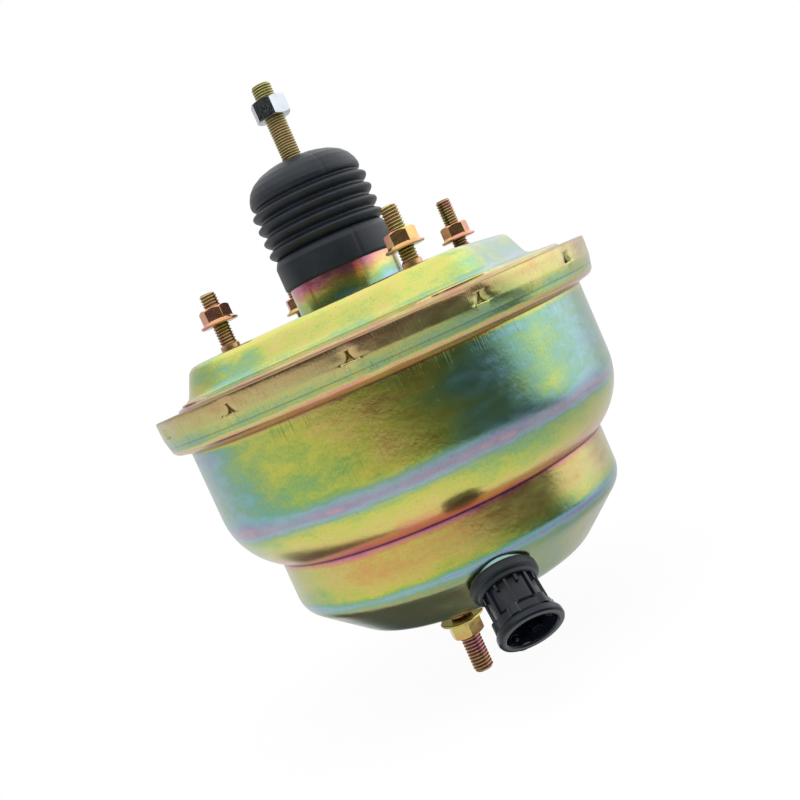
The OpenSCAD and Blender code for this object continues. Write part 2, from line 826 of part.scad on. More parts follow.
module poppet_valve() {
    z0 = z_air_seat + fit_gap;
    bellows_r = poppet_r;
    color(rubber)
        rotate_extrude()
            polygon([[rod_r + 0.4, z0], [poppet_r, z0], [poppet_r, z0 + poppet_t],
                     [bellows_r + 0.8, z0 + poppet_t + 2], [bellows_r, z0 + poppet_t + 4],
                     [bellows_r + 0.8, z0 + poppet_t + 6], [bellows_r + 0.8, z_poppet_top - poppet_bead_h],
                     [bore_r - fit_gap, z_poppet_top - poppet_bead_h], [bore_r - fit_gap, z_poppet_top],
                     [bellows_r - 0.6, z_poppet_top], [bellows_r - 0.6, z0 + poppet_t + 6],
                     [bellows_r - 1.4, z0 + poppet_t + 4], [bellows_r - 0.6, z0 + poppet_t + 2],
                     [bellows_r - 1.4, z0 + poppet_t], [rod_r + 0.4, z0 + poppet_t]]);
}

module poppet_spring() {
    r = poppet_r - 3;
    color(steel_bare)
        spring(r, r, z_air_seat + fit_gap + poppet_t, z_poppet_top, 4.5, poppet_wire, 16, 6);
}

module poppet_retainer() {
    color(steel_bare) ring(retainer_bore_r, bore_r - fit_gap, z_poppet_top, z_retainer);
}

module rod_return_spring() {
    color(steel_bare)
        spring(rod_r + 5, rod_r + 2.4, z_retainer, z_retainer + rod_spring_len, 5, rod_wire, 16, 6);
}

module rod_spring_washer() {
    z0 = z_retainer + rod_spring_len;
    color(steel_bare) ring(rod_r + fit_gap, washer_r, z0, z0 + washer_t);
}

module air_filter() {
    color([0.32, 0.33, 0.35])
        ring(filter_bore_r, bore_r - fit_gap, z_filter_cap - filter_cap_t - filter_h, z_filter_cap - filter_cap_t);
}

module filter_cap() {
    color(plastic)
        difference() {
            ring(filter_bore_r + 0.4, bore_r - fit_gap, z_filter_cap - filter_cap_t, z_filter_cap);
            for (i = [0:7])
                rotate([0, 0, 45 * i])
                    translate([(filter_bore_r + bore_r) / 2, 0, 0])
                        rod(1.5, z_filter_cap - filter_cap_t - 1, z_filter_cap + 1);
        }
}

// Pedal rod with its ball end, thin shank and threaded length

module pedal_rod() {
    shank_end = z_ball + 9;
    nut_top = rod_nut_z + rod_nut_h;
    color(steel_gold) {
        translate([0, 0, z_ball]) sphere(r = ball_r);
        rod(neck_shank_r, z_ball, shank_end);
        rotate_extrude()
            polygon([[0, shank_end - eps], [neck_shank_r, shank_end - eps], [rod_r, shank_end + 2],
                     [rod_r, nut_top], [rod_lead_r, nut_top + 0.3], [rod_lead_r, rod_tip - 1],
                     [rod_lead_r - 1, rod_tip], [0, rod_tip]]);
    }
}

module rod_nut() {
    corner = rod_nut_flat / sqrt(3);
    color([0.85, 0.86, 0.88])
        difference() {
            intersection() {
                translate([0, 0, rod_nut_z]) cylinder(r = corner, h = rod_nut_h, $fn = 6);
                rotate_extrude()
                    polygon([[0, rod_nut_z], [corner - 1, rod_nut_z], [corner + 0.6, rod_nut_z + 1],
                             [corner + 0.6, rod_nut_z + rod_nut_h - 1], [corner - 1, rod_nut_z + rod_nut_h],
                             [0, rod_nut_z + rod_nut_h]]);
            }
            rod(rod_r + fit_gap, rod_nut_z - 1, rod_nut_z + rod_nut_h + 1);
        }
}

// Guide, seal and washer in the neck

neck_bore_r = neck_r - sheet_t;

module neck_guide() {
    color(plastic) ring(tail_r + 0.1, neck_bore_r - fit_gap, guide_z[0], guide_z[1]);
}

module neck_seal() {
    z0 = neck_seal_z[0];
    z1 = neck_seal_z[1];
    color(rubber)
        rotate_extrude()
            polygon([[tail_r + run_gap, z0], [neck_bore_r - fit_gap, z0], [neck_bore_r - fit_gap, z1],
                     [neck_bore_r - 2, z1], [neck_bore_r - 2, z0 + 2.5], [tail_r + run_gap + 1.2, z0 + 2.5],
                     [tail_r + run_gap + 1.2, z1 - 2], [tail_r + run_gap, z1 - 1.2]]);
}

module neck_seal_washer() {
    color(steel_bare)
        ring(tail_r + 1, neck_bore_r - fit_gap, neck_seal_z[1], neck_seal_z[1] + neck_washer_t);
}

// Boot: cuff on the neck, folds, domed end round the pedal rod

groove_r = fold_r - fold_depth;
fold_span = dome_z - 1.5 - cuff_z[1];
pitch = fold_span / boot_folds;

function fold_points(o) = [for (k = [0:boot_folds - 1], s = [-0.5, -0.3, -0.13, 0.13, 0.3]) let (
    z = cuff_z[1] + pitch * (k + 0.5 + s),
    r = s == -0.5 ? groove_r : abs(s) > 0.2 ? fold_r - 1.1 : fold_r)
    [r - o, z]];

module boot() {
    outer = concat(
        [[cuff_r - cuff_lip, cuff_z[0]], [cuff_r, cuff_z[0] + cuff_lip],
         [cuff_r, cuff_z[1] - 3.6], [cuff_r - 0.8, cuff_z[1] - 1.4]],
        fold_points(0),
        [[groove_r, dome_z - 1.8], [dome_r - 0.4, dome_z - 0.8], [dome_r, dome_z],
         [dome_r - 0.3, dome_z + 2], [dome_r * 0.91, dome_z + 6], [dome_r * 0.80, dome_z + 10],
         [dome_r * 0.70, dome_z + 12], [dome_r * 0.52, dome_top - 1], [rod_r + 3, dome_top]]);
    inner = concat(
        [[neck_r + fit_gap, cuff_z[0]], [neck_r + fit_gap, neck_h + run_gap],
         [groove_r - boot_wall, neck_h + run_gap + 0.5]],
        fold_points(boot_wall),
        [[groove_r - boot_wall, dome_z - 1.8], [dome_r - boot_wall - 0.4, dome_z],
         [dome_r - boot_wall - 0.7, dome_z + 2], [dome_r * 0.91 - boot_wall, dome_z + 5.4],
         [dome_r * 0.76 - boot_wall, dome_z + 9], [dome_r * 0.5, dome_top - 3.2],
         [rod_r + run_gap, dome_top - 3.2], [rod_r + run_gap, dome_top]]);
    color(rubber) rotate_extrude() polygon(concat(outer, reversed(inner)));
}

// Vacuum port: rubber grommet in the shell and a hollow plug in it

grommet_top = boss_rise + grommet_t;

module valve_grommet() {
    lip_r = grommet_neck_r + 2.2;
    z_in = boss_rise - sheet_t;
    color(rubber)
        at_port()
            rotate_extrude()
                polygon([[grommet_bore_r, z_in - grommet_lip_t], [lip_r - 1, z_in - grommet_lip_t],
                         [lip_r, z_in - 1], [lip_r, z_in - fit_gap],
                         [grommet_neck_r - fit_gap, z_in - fit_gap], [grommet_neck_r - fit_gap, boss_rise + fit_gap],
                         [grommet_r, boss_rise + fit_gap], [grommet_r, grommet_top - 1.6],
                         [grommet_r - 1, grommet_top - 0.7], [plug_r + collar_lip_w + 0.4, grommet_top - 0.7],
                         [plug_r + collar_lip_w, grommet_top + collar_lip_h],
                         [plug_r + fit_gap, grommet_top + collar_lip_h], [plug_r + fit_gap, grommet_top],
                         [grommet_bore_r, grommet_top]]);
}

// Bars up the plug's barrel, from the grommet's lip
module plug_bars(count, start, z_low, len) {
    for (i = [0:count - 1])
        rotate([0, 0, start + 360 * i / count])
            translate([plug_r - 0.6, -0.7, z_low]) cube([1.3, 1.4, len]);
}

module port_plug() {
    z0 = grommet_top + fit_gap;
    z1 = z0 + plug_len;
    z_bars = z0 + collar_lip_h + 0.2;
    bar_count = 8;
    lobe_r = 3;
    lobe_h = 4.6;
    lug_r = 3.4;
    rim_r = mouth_r + rim_w + 1.2;
    stem_end = boss_rise - sheet_t - grommet_lip_t - 2;
    color([0.08, 0.09, 0.10])
        at_port() {
            difference() {
                union() {
                    rod(grommet_bore_r - fit_gap, stem_end, z0 + 1);
                    rod(plug_r, z0, z1 - rim_h);
                    rotate_extrude()
                        polygon([[0, z1 - rim_h - 5], [plug_r, z1 - rim_h - 5], [plug_r + 1.6, z1 - rim_h - 3.5],
                                 [plug_r + 1.6, z1 - rim_h - 1], [rim_r, z1 - rim_h + 1.5],
                                 [rim_r, z1 - 1.2], [rim_r - 1.2, z1], [0, z1]]);
                    plug_bars(bar_count, 8, z_bars, plug_len - rim_h - 2);
                    plug_bars(bar_count, 8 + 180 / bar_count, z_bars, 3);
                    for (i = [0:5])
                        rotate([0, 0, 60 * i + 20])
                            translate([plug_r - 0.4, 0, z1 - rim_h - lobe_h]) cylinder(r = lobe_r, h = lobe_h);
                    rotate([0, 0, -18])
                        translate([rim_r - 1.9, 0, z1 - 3.2]) cylinder(r = lug_r, h = 2.6);
                }
                rod(mouth_r, z0 + plug_floor_t, z1 + 1);
                rod(grommet_bore_r - 2.5, stem_end - 1, z0);
            }
        }
}

front_shell();
rear_shell();
front_reinforcement_plate();
rear_reinforcement_plate();
firewall_studs();
firewall_stud_nuts();
master_studs();
master_stud_nuts();
centre_divider();
divider_seal();
front_diaphragm();
rear_diaphragm();
front_diaphragm_plate();
rear_diaphragm_plate();
front_diaphragm_nut();
rear_diaphragm_clip();
power_piston();
return_spring();
reaction_disc();
output_rod();
output_rod_clip();
output_rod_screw();
output_rod_seal();
output_seal_cup();
valve_plunger();
stop_key();
poppet_valve();
poppet_spring();
poppet_retainer();
pedal_rod();
rod_return_spring();
rod_spring_washer();
air_filter();
filter_cap();
neck_guide();
neck_seal();
neck_seal_washer();
boot();
rod_nut();
valve_grommet();
port_plug();
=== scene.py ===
import math

import bmesh
import bpy
from mathutils import Matrix, Vector


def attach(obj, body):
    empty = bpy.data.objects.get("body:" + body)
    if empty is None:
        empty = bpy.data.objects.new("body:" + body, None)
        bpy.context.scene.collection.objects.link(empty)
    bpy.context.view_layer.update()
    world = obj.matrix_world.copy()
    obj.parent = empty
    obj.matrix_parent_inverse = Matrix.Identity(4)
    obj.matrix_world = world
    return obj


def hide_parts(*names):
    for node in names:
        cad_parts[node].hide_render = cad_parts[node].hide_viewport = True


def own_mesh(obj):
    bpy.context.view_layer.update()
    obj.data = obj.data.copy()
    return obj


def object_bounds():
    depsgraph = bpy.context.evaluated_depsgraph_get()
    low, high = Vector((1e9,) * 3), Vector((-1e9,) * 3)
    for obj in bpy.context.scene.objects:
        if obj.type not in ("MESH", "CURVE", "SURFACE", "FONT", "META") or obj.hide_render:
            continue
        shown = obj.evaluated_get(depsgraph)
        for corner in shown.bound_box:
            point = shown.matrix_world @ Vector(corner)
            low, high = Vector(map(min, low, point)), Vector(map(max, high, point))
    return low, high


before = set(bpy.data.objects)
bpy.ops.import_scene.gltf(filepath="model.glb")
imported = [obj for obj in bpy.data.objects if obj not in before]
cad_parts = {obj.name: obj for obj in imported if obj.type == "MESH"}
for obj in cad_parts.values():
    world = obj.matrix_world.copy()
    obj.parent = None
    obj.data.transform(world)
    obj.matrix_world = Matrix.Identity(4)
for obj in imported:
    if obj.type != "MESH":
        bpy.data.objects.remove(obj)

# Millimetres in, metres out: profiles are drawn in the part's own millimetres
MM = 0.001
cad_box = [list(corner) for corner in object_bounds()]
scene = bpy.context.scene


# Camera and studio

def put(name, data):
    made = bpy.data.objects.new(name, data)
    scene.collection.objects.link(made)
    return made


def make_camera():
    """The photograph's view: level with the band's top and looking slightly down, rolled so that
    the pedal rod leans left."""
    azimuth = math.radians(19.9)
    pitch = math.radians(4.35)
    roll = math.radians(-24)
    distance = 0.5096
    height = -0.0158
    data = bpy.data.cameras.new("photo_camera")
    data.lens = 46.9
    data.clip_start = 0.01
    camera = put("photo_camera", data)
    place = Matrix.Translation((distance * math.sin(azimuth), -distance * math.cos(azimuth), height))
    turn = (Matrix.Rotation(azimuth, 4, "Z") @ Matrix.Rotation(math.pi / 2 - pitch, 4, "X")
            @ Matrix.Rotation(roll, 4, "Z"))
    camera.matrix_world = place @ turn
    scene.camera = camera


def add(tree, kind, inputs=None, **settings):
    """A shader node; its inputs are linked to sockets or set to values."""
    made = tree.nodes.new("ShaderNode" + kind)
    for name, value in settings.items():
        setattr(made, name, value)
    for socket, value in (inputs or {}).items():
        if isinstance(value, bpy.types.NodeSocket):
            tree.links.new(value, made.inputs[socket])
        else:
            made.inputs[socket].default_value = value
    return made


def calc(tree, operation, *values):
    return add(tree, "Math", dict(enumerate(values)), operation=operation).outputs[0]


def times(tree, first, second):
    return calc(tree, "MULTIPLY", first, second)


def between(tree, value, low, high, out_low=0.0, out_high=1.0, smooth=False):
    """value's way from low to high, held at both ends."""
    kind = "SMOOTHSTEP" if smooth else "LINEAR"
    ends = {"From Min": low, "From Max": high, "To Min": out_low, "To Max": out_high}
    return add(tree, "MapRange", {"Value": value, **ends}, interpolation_type=kind).outputs[0]


def ramp(tree, value, stops):
    """A colour ramp of (place, colour) stops, where a colour may be one grey level or (grey, alpha)."""
    made = add(tree, "ValToRGB", {"Fac": value})
    made.color_ramp.interpolation = "LINEAR"
    steps = made.color_ramp.elements
    while len(steps) < len(stops):
        steps.new(0.5)
    for step, (place, colour) in zip(steps, sorted(stops, key=lambda stop: stop[0])):
        step.position = place
        if isinstance(colour, (int, float)):
            colour = (colour, 1)
        if len(colour) == 2:
            colour = (colour[0],) * 3 + (colour[1],)
        step.color = tuple(colour) + (1,) * (4 - len(colour))
    return made.outputs


def mix(tree, factor, first, second, blend="MIX"):
    made = add(tree, "Mix", data_type="RGBA", blend_type=blend)
    for socket, value in ((made.inputs[0], factor), (made.inputs[6], first), (made.inputs[7], second)):
        if isinstance(value, bpy.types.NodeSocket):
            tree.links.new(value, socket)
        elif socket.type == "RGBA":
            socket.default_value = tuple(value) + (1,) * (4 - len(value))
        else:
            socket.default_value = value
    return made.outputs[2]


def noise(tree, vector, scale, detail, roughness):
    settings = {"Vector": vector, "Scale": scale, "Detail": detail, "Roughness": roughness}
    return add(tree, "TexNoise", settings).outputs["Fac"]


def centred(tree, vector, scale, detail, roughness):
    """Noise about nought."""
    return calc(tree, "SUBTRACT", noise(tree, vector, scale, detail, roughness), 0.5)


def stretched(tree, vector, x, y, z):
    return add(tree, "Mapping", {"Vector": vector, "Scale": (x, y, z)}).outputs[0]


def facing(tree, direction, azimuth, height):
    """How far a direction looks towards an azimuth and height in degrees: 1 when straight at it."""
    a = math.radians(azimuth)
    e = math.radians(height)
    towards = (math.cos(a) * math.cos(e), math.sin(a) * math.cos(e), math.sin(e))
    return add(tree, "VectorMath", {0: direction, 1: towards}, operation="DOT_PRODUCT").outputs["Value"]


def seen_directly(tree):
    """1 on a ray that comes straight from the camera, and 0 on one that lights or mirrors."""
    ray = add(tree, "LightPath").outputs
    return calc(tree, "MAXIMUM", ray["Is Camera Ray"], ray["Is Transmission Ray"])


# Azimuths and heights in degrees. The part lies tilted in the room, whose upright leans to the right.
UPRIGHT = (20, 66)
SOFT_BOX = (28, 8)
WALL_FOOT_UP = (20, 78)
WALL_TOP_UP = (20, 82)
WALL_SIDE = (-100, -60)
SHADED_SPOT = (135, -50)
ROOM_LEVEL = 0.78
WALL_DARKNESS = 0.96
FILL_LIGHT = (0.62, 0.62, 0.62)


def make_studio():
    """White backdrop, and the room that the metal mirrors: pale table, ceiling light, a dark wall behind
    the camera that ends at a soft box on the right, and a shaded spot low at the back left."""
    world = bpy.data.worlds.new("studio")
    scene.world = world
    world.use_nodes = True
    tree = world.node_tree
    tree.nodes.clear()
    direction = add(tree, "TexCoord").outputs["Generated"]
    upright = facing(tree, direction, *UPRIGHT)
    table = between(tree, upright, -0.25, -0.9, 0, 0.34)
    ceiling = between(tree, upright, 0.12, 0.60, 0, 0.80, smooth=True)
    box = between(tree, facing(tree, direction, *SOFT_BOX), 0.80, 0.97, 0, 0.50, smooth=True)
    level = calc(tree, "ADD", calc(tree, "ADD", table, ceiling), calc(tree, "ADD", box, ROOM_LEVEL))
    above_table = between(tree, facing(tree, direction, *WALL_FOOT_UP), -0.19, -0.115, smooth=True)
    below_ceiling = between(tree, facing(tree, direction, *WALL_TOP_UP), 0.38, 0.20, smooth=True)
    left_of_box = between(tree, facing(tree, direction, *WALL_SIDE), 0.03, 0.11, smooth=True)
    wall = times(tree, times(tree, above_table, below_ceiling), left_of_box)
    shaded = between(tree, facing(tree, direction, *SHADED_SPOT), 0.90, 0.96, 0, 0.88, smooth=True)
    dark = calc(tree, "MAXIMUM", times(tree, wall, WALL_DARKNESS), shaded)
    mirrored = times(tree, level, calc(tree, "SUBTRACT", 1.0, dark))
    diffuse = add(tree, "LightPath").outputs["Is Diffuse Ray"]
    lit = mix(tree, diffuse, mirrored, FILL_LIGHT)
    room = add(tree, "Background", {"Color": lit, "Strength": 1.0})
    white = add(tree, "Background", {"Color": (1, 1, 1, 1), "Strength": 1.0})
    both = add(tree, "MixShader", {0: seen_directly(tree), 1: room.outputs[0], 2: white.outputs[0]})
    add(tree, "OutputWorld", {"Surface": both.outputs[0]})


# The point that the lamps face, in the middle of the shells
LAMP_AIM = Vector((0, 0, -0.03))


def make_lamp(name, azimuth, height, distance, width, tall, power):
    """A rectangular lamp that lights the part and isn't mirrored in it."""
    data = bpy.data.lights.new(name, "AREA")
    data.shape = "RECTANGLE"
    data.size = width
    data.size_y = tall
    data.energy = power
    a = math.radians(azimuth)
    lamp = put(name, data)
    lamp.visible_glossy = False
    spot = Vector((distance * math.cos(a), distance * math.sin(a), height))
    lamp.location = spot
    lamp.rotation_mode = "QUATERNION"
    lamp.rotation_quaternion = (spot - LAMP_AIM).to_track_quat("Z", "Y")


FLOOR_GAP = 0.012
FLOOR_SIZE = 4
# How far from the axis the floor's share of plain white goes up, and from what to what
SHADOW_FADE = (0.10, 0.36)
SHADOW_WHITE = (0.93, 1.0)


def make_floor():
    """A pale floor below the part: white to the camera but for a little of the part's shadow."""
    low = cad_box[0][2] - FLOOR_GAP
    bm = bmesh.new()
    bmesh.ops.create_grid(bm, x_segments=2, y_segments=2, size=FLOOR_SIZE)
    bmesh.ops.translate(bm, vec=(0, 0, low), verts=bm.verts)
    mesh = bpy.data.meshes.new("studio_floor")
    bm.to_mesh(mesh)
    bm.free()
    floor = put("studio_floor", mesh)
    floor.visible_glossy = False
    material = bpy.data.materials.new("pale_floor")
    material.use_nodes = True
    tree = material.node_tree
    tree.nodes.clear()
    paper = add(tree, "BsdfDiffuse", {"Color": (0.86, 0.86, 0.86, 1)})
    white = add(tree, "Emission", {"Color": (1, 1, 1, 1), "Strength": 1.0})
    here = add(tree, "TexCoord").outputs["Object"]
    away = add(tree, "VectorMath", {0: here, 1: (0, 0, low)}, operation="DISTANCE").outputs["Value"]
    whiteness = between(tree, away, *SHADOW_FADE, *SHADOW_WHITE, smooth=True)
    share = times(tree, seen_directly(tree), whiteness)
    both = add(tree, "MixShader", {0: share, 1: paper.outputs[0], 2: white.outputs[0]})
    add(tree, "OutputMaterial", {"Surface": both.outputs[0]})
    mesh.materials.append(material)


make_camera()
make_studio()
make_lamp("right_soft_box", 8, 0.05, 1.15, 0.62, 1.2, 11)
make_lamp("left_soft_box", -122, 0.10, 1.15, 0.62, 1.2, 11)
make_lamp("top_soft_box", -60, 1.2, 0.45, 1.1, 1.1, 12)
make_floor()


# Effects that more than one finish uses

def group(name, inputs, outputs):
    """A shader node group with named sockets: (name, kind, value) in and (name, kind) out."""
    made = bpy.data.node_groups.new(name, "ShaderNodeTree")
    for label, kind, value in inputs:
        socket = made.interface.new_socket(name=label, in_out="INPUT", socket_type="NodeSocket" + kind)
        if value is not None:
            socket.default_value = value
    for label, kind in outputs:
        made.interface.new_socket(name=label, in_out="OUTPUT", socket_type="NodeSocket" + kind)
    return made, made.nodes.new("NodeGroupInput").outputs, made.nodes.new("NodeGroupOutput")


def wired(tree, made, inputs):
    """The outputs of a group placed in tree."""
    return add(tree, "Group", inputs, node_tree=made).outputs


# The passivation film's colours as it thickens, from straw round to straw again
FILM = [
    (0.00, (0.60, 0.50, 0.12)), (0.09, (0.50, 0.52, 0.07)), (0.19, (0.27, 0.44, 0.10)),
    (0.29, (0.14, 0.37, 0.24)), (0.39, (0.17, 0.42, 0.44)), (0.47, (0.19, 0.28, 0.48)),
    (0.55, (0.25, 0.15, 0.36)), (0.63, (0.50, 0.13, 0.27)), (0.71, (0.64, 0.20, 0.23)),
    (0.80, (0.64, 0.28, 0.14)), (0.90, (0.60, 0.38, 0.09)), (1.00, (0.60, 0.50, 0.12))]
FILM_ORDERS = 4
# The order on the open flank of the large chamber, from which the change round the shell is counted
FLANK_ORDER = 2.06
# The vertex layer that marks how near a thread's root a point is, for the painted shade there
ROOT_LAYER = "thread_root"


def film_group():
    """The film's colour at an order, mottled and grained, with dull metal showing through it."""
    made, given, result = group(
        "chromate_film",
        [("Vector", "Vector", None), ("Order", "Float", 2.0), ("Mottle", "Float", 0.2),
         ("Dullness", "Float", 0.2)],
        [("Color", "Color"), ("Patch", "Float")])
    where = given["Vector"]
    along = stretched(made, where, 1, 1, 2.4)
    broad = centred(made, along, 24, 3, 0.55)
    middle = noise(made, along, 110, 4, 0.62)
    fine = centred(made, where, 1100, 3, 0.6)
    spread = calc(made, "MULTIPLY_ADD", broad, 2.2, calc(made, "SUBTRACT", middle, 0.5))
    mottled = calc(made, "MULTIPLY_ADD", spread, given["Mottle"], given["Order"])
    order = calc(made, "MULTIPLY_ADD", fine, 0.22, mottled)
    colour = ramp(made, calc(made, "FRACT", order), FILM)["Color"]
    bare = ramp(made, middle, [(0.3, 0.30), (0.7, 0.44)])["Color"]
    made.links.new(mix(made, given["Dullness"], colour, bare), result.inputs["Color"])
    made.links.new(middle, result.inputs["Patch"])
    return made


def scratch_group():
    """Fine scratches drawn along Z, out of noise stretched that way, with their depth as a mask."""
    made, given, result = group(
        "drawn_scratches",
        [("Vector", "Vector", None), ("Amount", "Float", 0.3)],
        [("Mask", "Float")])
    hair = noise(made, stretched(made, given["Vector"], 1, 1, 0.035), 1500, 3, 0.6)
    place = noise(made, given["Vector"], 60, 2, 0.5)
    lines = between(made, hair, 0.55, 0.70)
    here = between(made, place, 0.36, 0.58)
    mask = times(made, times(made, lines, here), given["Amount"])
    made.links.new(mask, result.inputs["Mask"])
    return made


def wear_group():
    """Handling marks: small rubbed spots and specks."""
    made, given, result = group(
        "handling_marks",
        [("Vector", "Vector", None), ("Size", "Float", 1.0)],
        [("Rubbed", "Float"), ("Specks", "Float")])
    patchy = noise(made, given["Vector"], times(made, given["Size"], 210), 6, 0.7)
    dots = noise(made, given["Vector"], times(made, given["Size"], 1500), 1, 0.5)
    made.links.new(between(made, patchy, 0.60, 0.70), result.inputs["Rubbed"])
    made.links.new(between(made, dots, 0.70, 0.76), result.inputs["Specks"])
    return made


def turned_group():
    """Where a point is on a turned piece: its angle in degrees and its height in millimetres."""
    made, given, result = group(
        "turned_position", [("Vector", "Vector", None)], [("Angle", "Float"), ("Height", "Float")])
    split = add(made, "SeparateXYZ", {0: given["Vector"]}).outputs
    angle = calc(made, "ARCTAN2", split["Y"], split["X"])
    made.links.new(times(made, angle, math.degrees(1)), result.inputs["Angle"])
    made.links.new(times(made, split["Z"], 1 / MM), result.inputs["Height"])
    return made


film = film_group()
scratches = scratch_group()
marks = wear_group()
turned = turned_group()


def start_material(name, **fixed):
    """A material with a Principled shader whose unlinked sockets are set here."""
    material = bpy.data.materials.new(name)
    material.use_nodes = True
    tree = material.node_tree
    tree.nodes.clear()
    shader = add(tree, "BsdfPrincipled")
    for socket, value in fixed.items():
        shader.inputs[socket.replace("_", " ")].default_value = value
    tree.links.new(shader.outputs[0], add(tree, "OutputMaterial").inputs["Surface"])
    where = add(tree, "TexCoord").outputs["Object"]
    return material, tree, shader, where


def coated(tree, shader, colour, rough, height, strength, distance):
    """Links a finish's colour and roughness, and its height as a bump, distance in metres."""
    bump = add(tree, "Bump", {"Height": height, "Strength": strength, "Distance": distance})
    for value, socket in ((colour, "Base Color"), (rough, "Roughness"), (bump.outputs[0], "Normal")):
        tree.links.new(value, shader.inputs[socket])


def tinted(tree, base, mask, strength, colour):
    """A colour laid over base where the mask is high."""
    return mix(tree, times(tree, mask, strength), base, colour)


def chromate_sheet(name, heights, angles, dull_angles, shade_and_dull, drags, mottle, seed):
    """Yellow chromate on pressed sheet. heights are (mm, order, share of the change round the shell),
    angles (degrees, order), dull_angles (degrees, dullness), shade_and_dull (mm, brightness as painted
    shade, dullness) and drags (mm, depth of the drag marks)."""
    material, tree, shader, where = start_material(name, Metallic=0.94)
    spot = wired(tree, turned, {"Vector": where})
    low = heights[0][0]
    high = heights[-1][0]

    def at_height(z):
        return (z - low) / (high - low)

    def at_angle(degrees):
        return (degrees + 180) / 360

    shift = add(tree, "Mapping", {"Vector": where, "Location": (seed, 0, 0)}).outputs[0]
    wave = centred(tree, shift, 30, 2, 0.5)
    ripple = centred(tree, shift, 130, 3, 0.6)
    up = between(tree, calc(tree, "MULTIPLY_ADD", ripple, 1.6, spot["Height"]), low, high)
    level_up = between(tree, spot["Height"], low, high)
    around = between(tree, calc(tree, "MULTIPLY_ADD", wave, 14, spot["Angle"]), -180, 180)
    by_angle = ramp(tree, around, [(at_angle(a), order / FILM_ORDERS) for a, order in angles])
    by_height = ramp(tree, up, [(at_height(z), (order / FILM_ORDERS, share)) for z, order, share in heights])
    swing = calc(tree, "SUBTRACT", by_angle["Color"], FLANK_ORDER / FILM_ORDERS)
    level = calc(tree, "MULTIPLY_ADD", by_height["Alpha"], swing, by_height["Color"])
    order = times(tree, level, FILM_ORDERS)
    # Painted shade: a brightness by height that darkens creases, edges and the lower front, beside a
    # dullness by height
    shade_dull = ramp(tree, level_up, [(at_height(z), (grey, dull)) for z, grey, dull in shade_and_dull])
    dull = ramp(tree, around, [(at_angle(a), grey) for a, grey in dull_angles])["Color"]
    dull = calc(tree, "MAXIMUM", dull, shade_dull["Alpha"])
    coat = wired(tree, film, {"Vector": where, "Order": order, "Mottle": mottle, "Dullness": dull})
    deep = ramp(tree, level_up, [(at_height(z), depth) for z, depth in drags])["Color"]
    hairs = wired(tree, scratches, {"Vector": where, "Amount": deep})["Mask"]
    rubs = wired(tree, marks, {"Vector": where, "Size": 1.0})
    # The painted shade darkens the film's colour here
    base = mix(tree, 1.0, coat["Color"], shade_dull["Color"], "MULTIPLY")
    base = tinted(tree, base, rubs["Rubbed"], 0.18, (0.30, 0.27, 0.16))
    base = tinted(tree, base, hairs, 0.6, (0.16, 0.17, 0.12))
    base = tinted(tree, base, rubs["Specks"], 0.5, (0.08, 0.08, 0.06))
    satin = between(tree, coat["Patch"], 0.3, 0.7, 0.15, 0.24)
    satin = calc(tree, "MULTIPLY_ADD", hairs, 0.25, satin)
    peel = noise(tree, where, 520, 3, 0.55)
    waves = noise(tree, where, 42, 2, 0.4)
    relief = calc(tree, "MULTIPLY_ADD", waves, 6.0, peel)
    relief = calc(tree, "SUBTRACT", relief, times(tree, hairs, 0.8))
    coated(tree, shader, base, satin, relief, 0.35, 0.00012)
    return material


def chromate_steel(name, order, mottle, dull, roughness):
    """Yellow chromate on a fastener or a rod, whose film changes over a few millimetres,
    with painted shade darkening the roots of its threads."""
    material, tree, shader, where = start_material(name, Metallic=0.94)
    level = calc(tree, "MULTIPLY_ADD", centred(tree, where, 17, 1, 0.5), 0.55, order)
    level = calc(tree, "MULTIPLY_ADD", centred(tree, where, 90, 2, 0.5), 0.45, level)
    coat = wired(tree, film, {"Vector": where, "Order": level, "Mottle": mottle, "Dullness": dull})
    rubs = wired(tree, marks, {"Vector": where, "Size": 2.2})
    root = add(tree, "Attribute", attribute_name=ROOT_LAYER).outputs["Fac"]
    base = tinted(tree, coat["Color"], rubs["Rubbed"], 0.35, (0.20, 0.13, 0.08))
    base = tinted(tree, base, rubs["Specks"], 0.5, (0.06, 0.05, 0.04))
    # Painted shade in the thread roots, from the root layer
    base = tinted(tree, base, root, 0.85, (0.03, 0.022, 0.014))
    rough = between(tree, coat["Patch"], 0.3, 0.7, roughness, roughness + 0.12)
    coated(tree, shader, base, rough, noise(tree, where, 1400, 3, 0.6), 0.3, 0.00004)
    return material


def plain_steel(name, light, dark, roughness, streak):
    """Bright, pressed or spring steel, its surface drawn along one way."""
    material, tree, shader, where = start_material(name, Metallic=1.0)
    cloud = noise(tree, where, 120, 3, 0.6)
    drawn = noise(tree, stretched(tree, where, 1, 1, streak), 1800, 2, 0.5)
    rubs = wired(tree, marks, {"Vector": where, "Size": 1.6})
    base = ramp(tree, cloud, [(0.3, dark), (0.7, light)])["Color"]
    base = mix(tree, between(tree, drawn, 0.55, 0.75, 0, 0.35), base, dark)
    base = tinted(tree, base, rubs["Specks"], 0.5, (0.10, 0.09, 0.08))
    rough = between(tree, drawn, 0.3, 0.7, roughness, roughness + 0.14)
    coated(tree, shader, base, rough, drawn, 0.25, 0.00004)
    return material


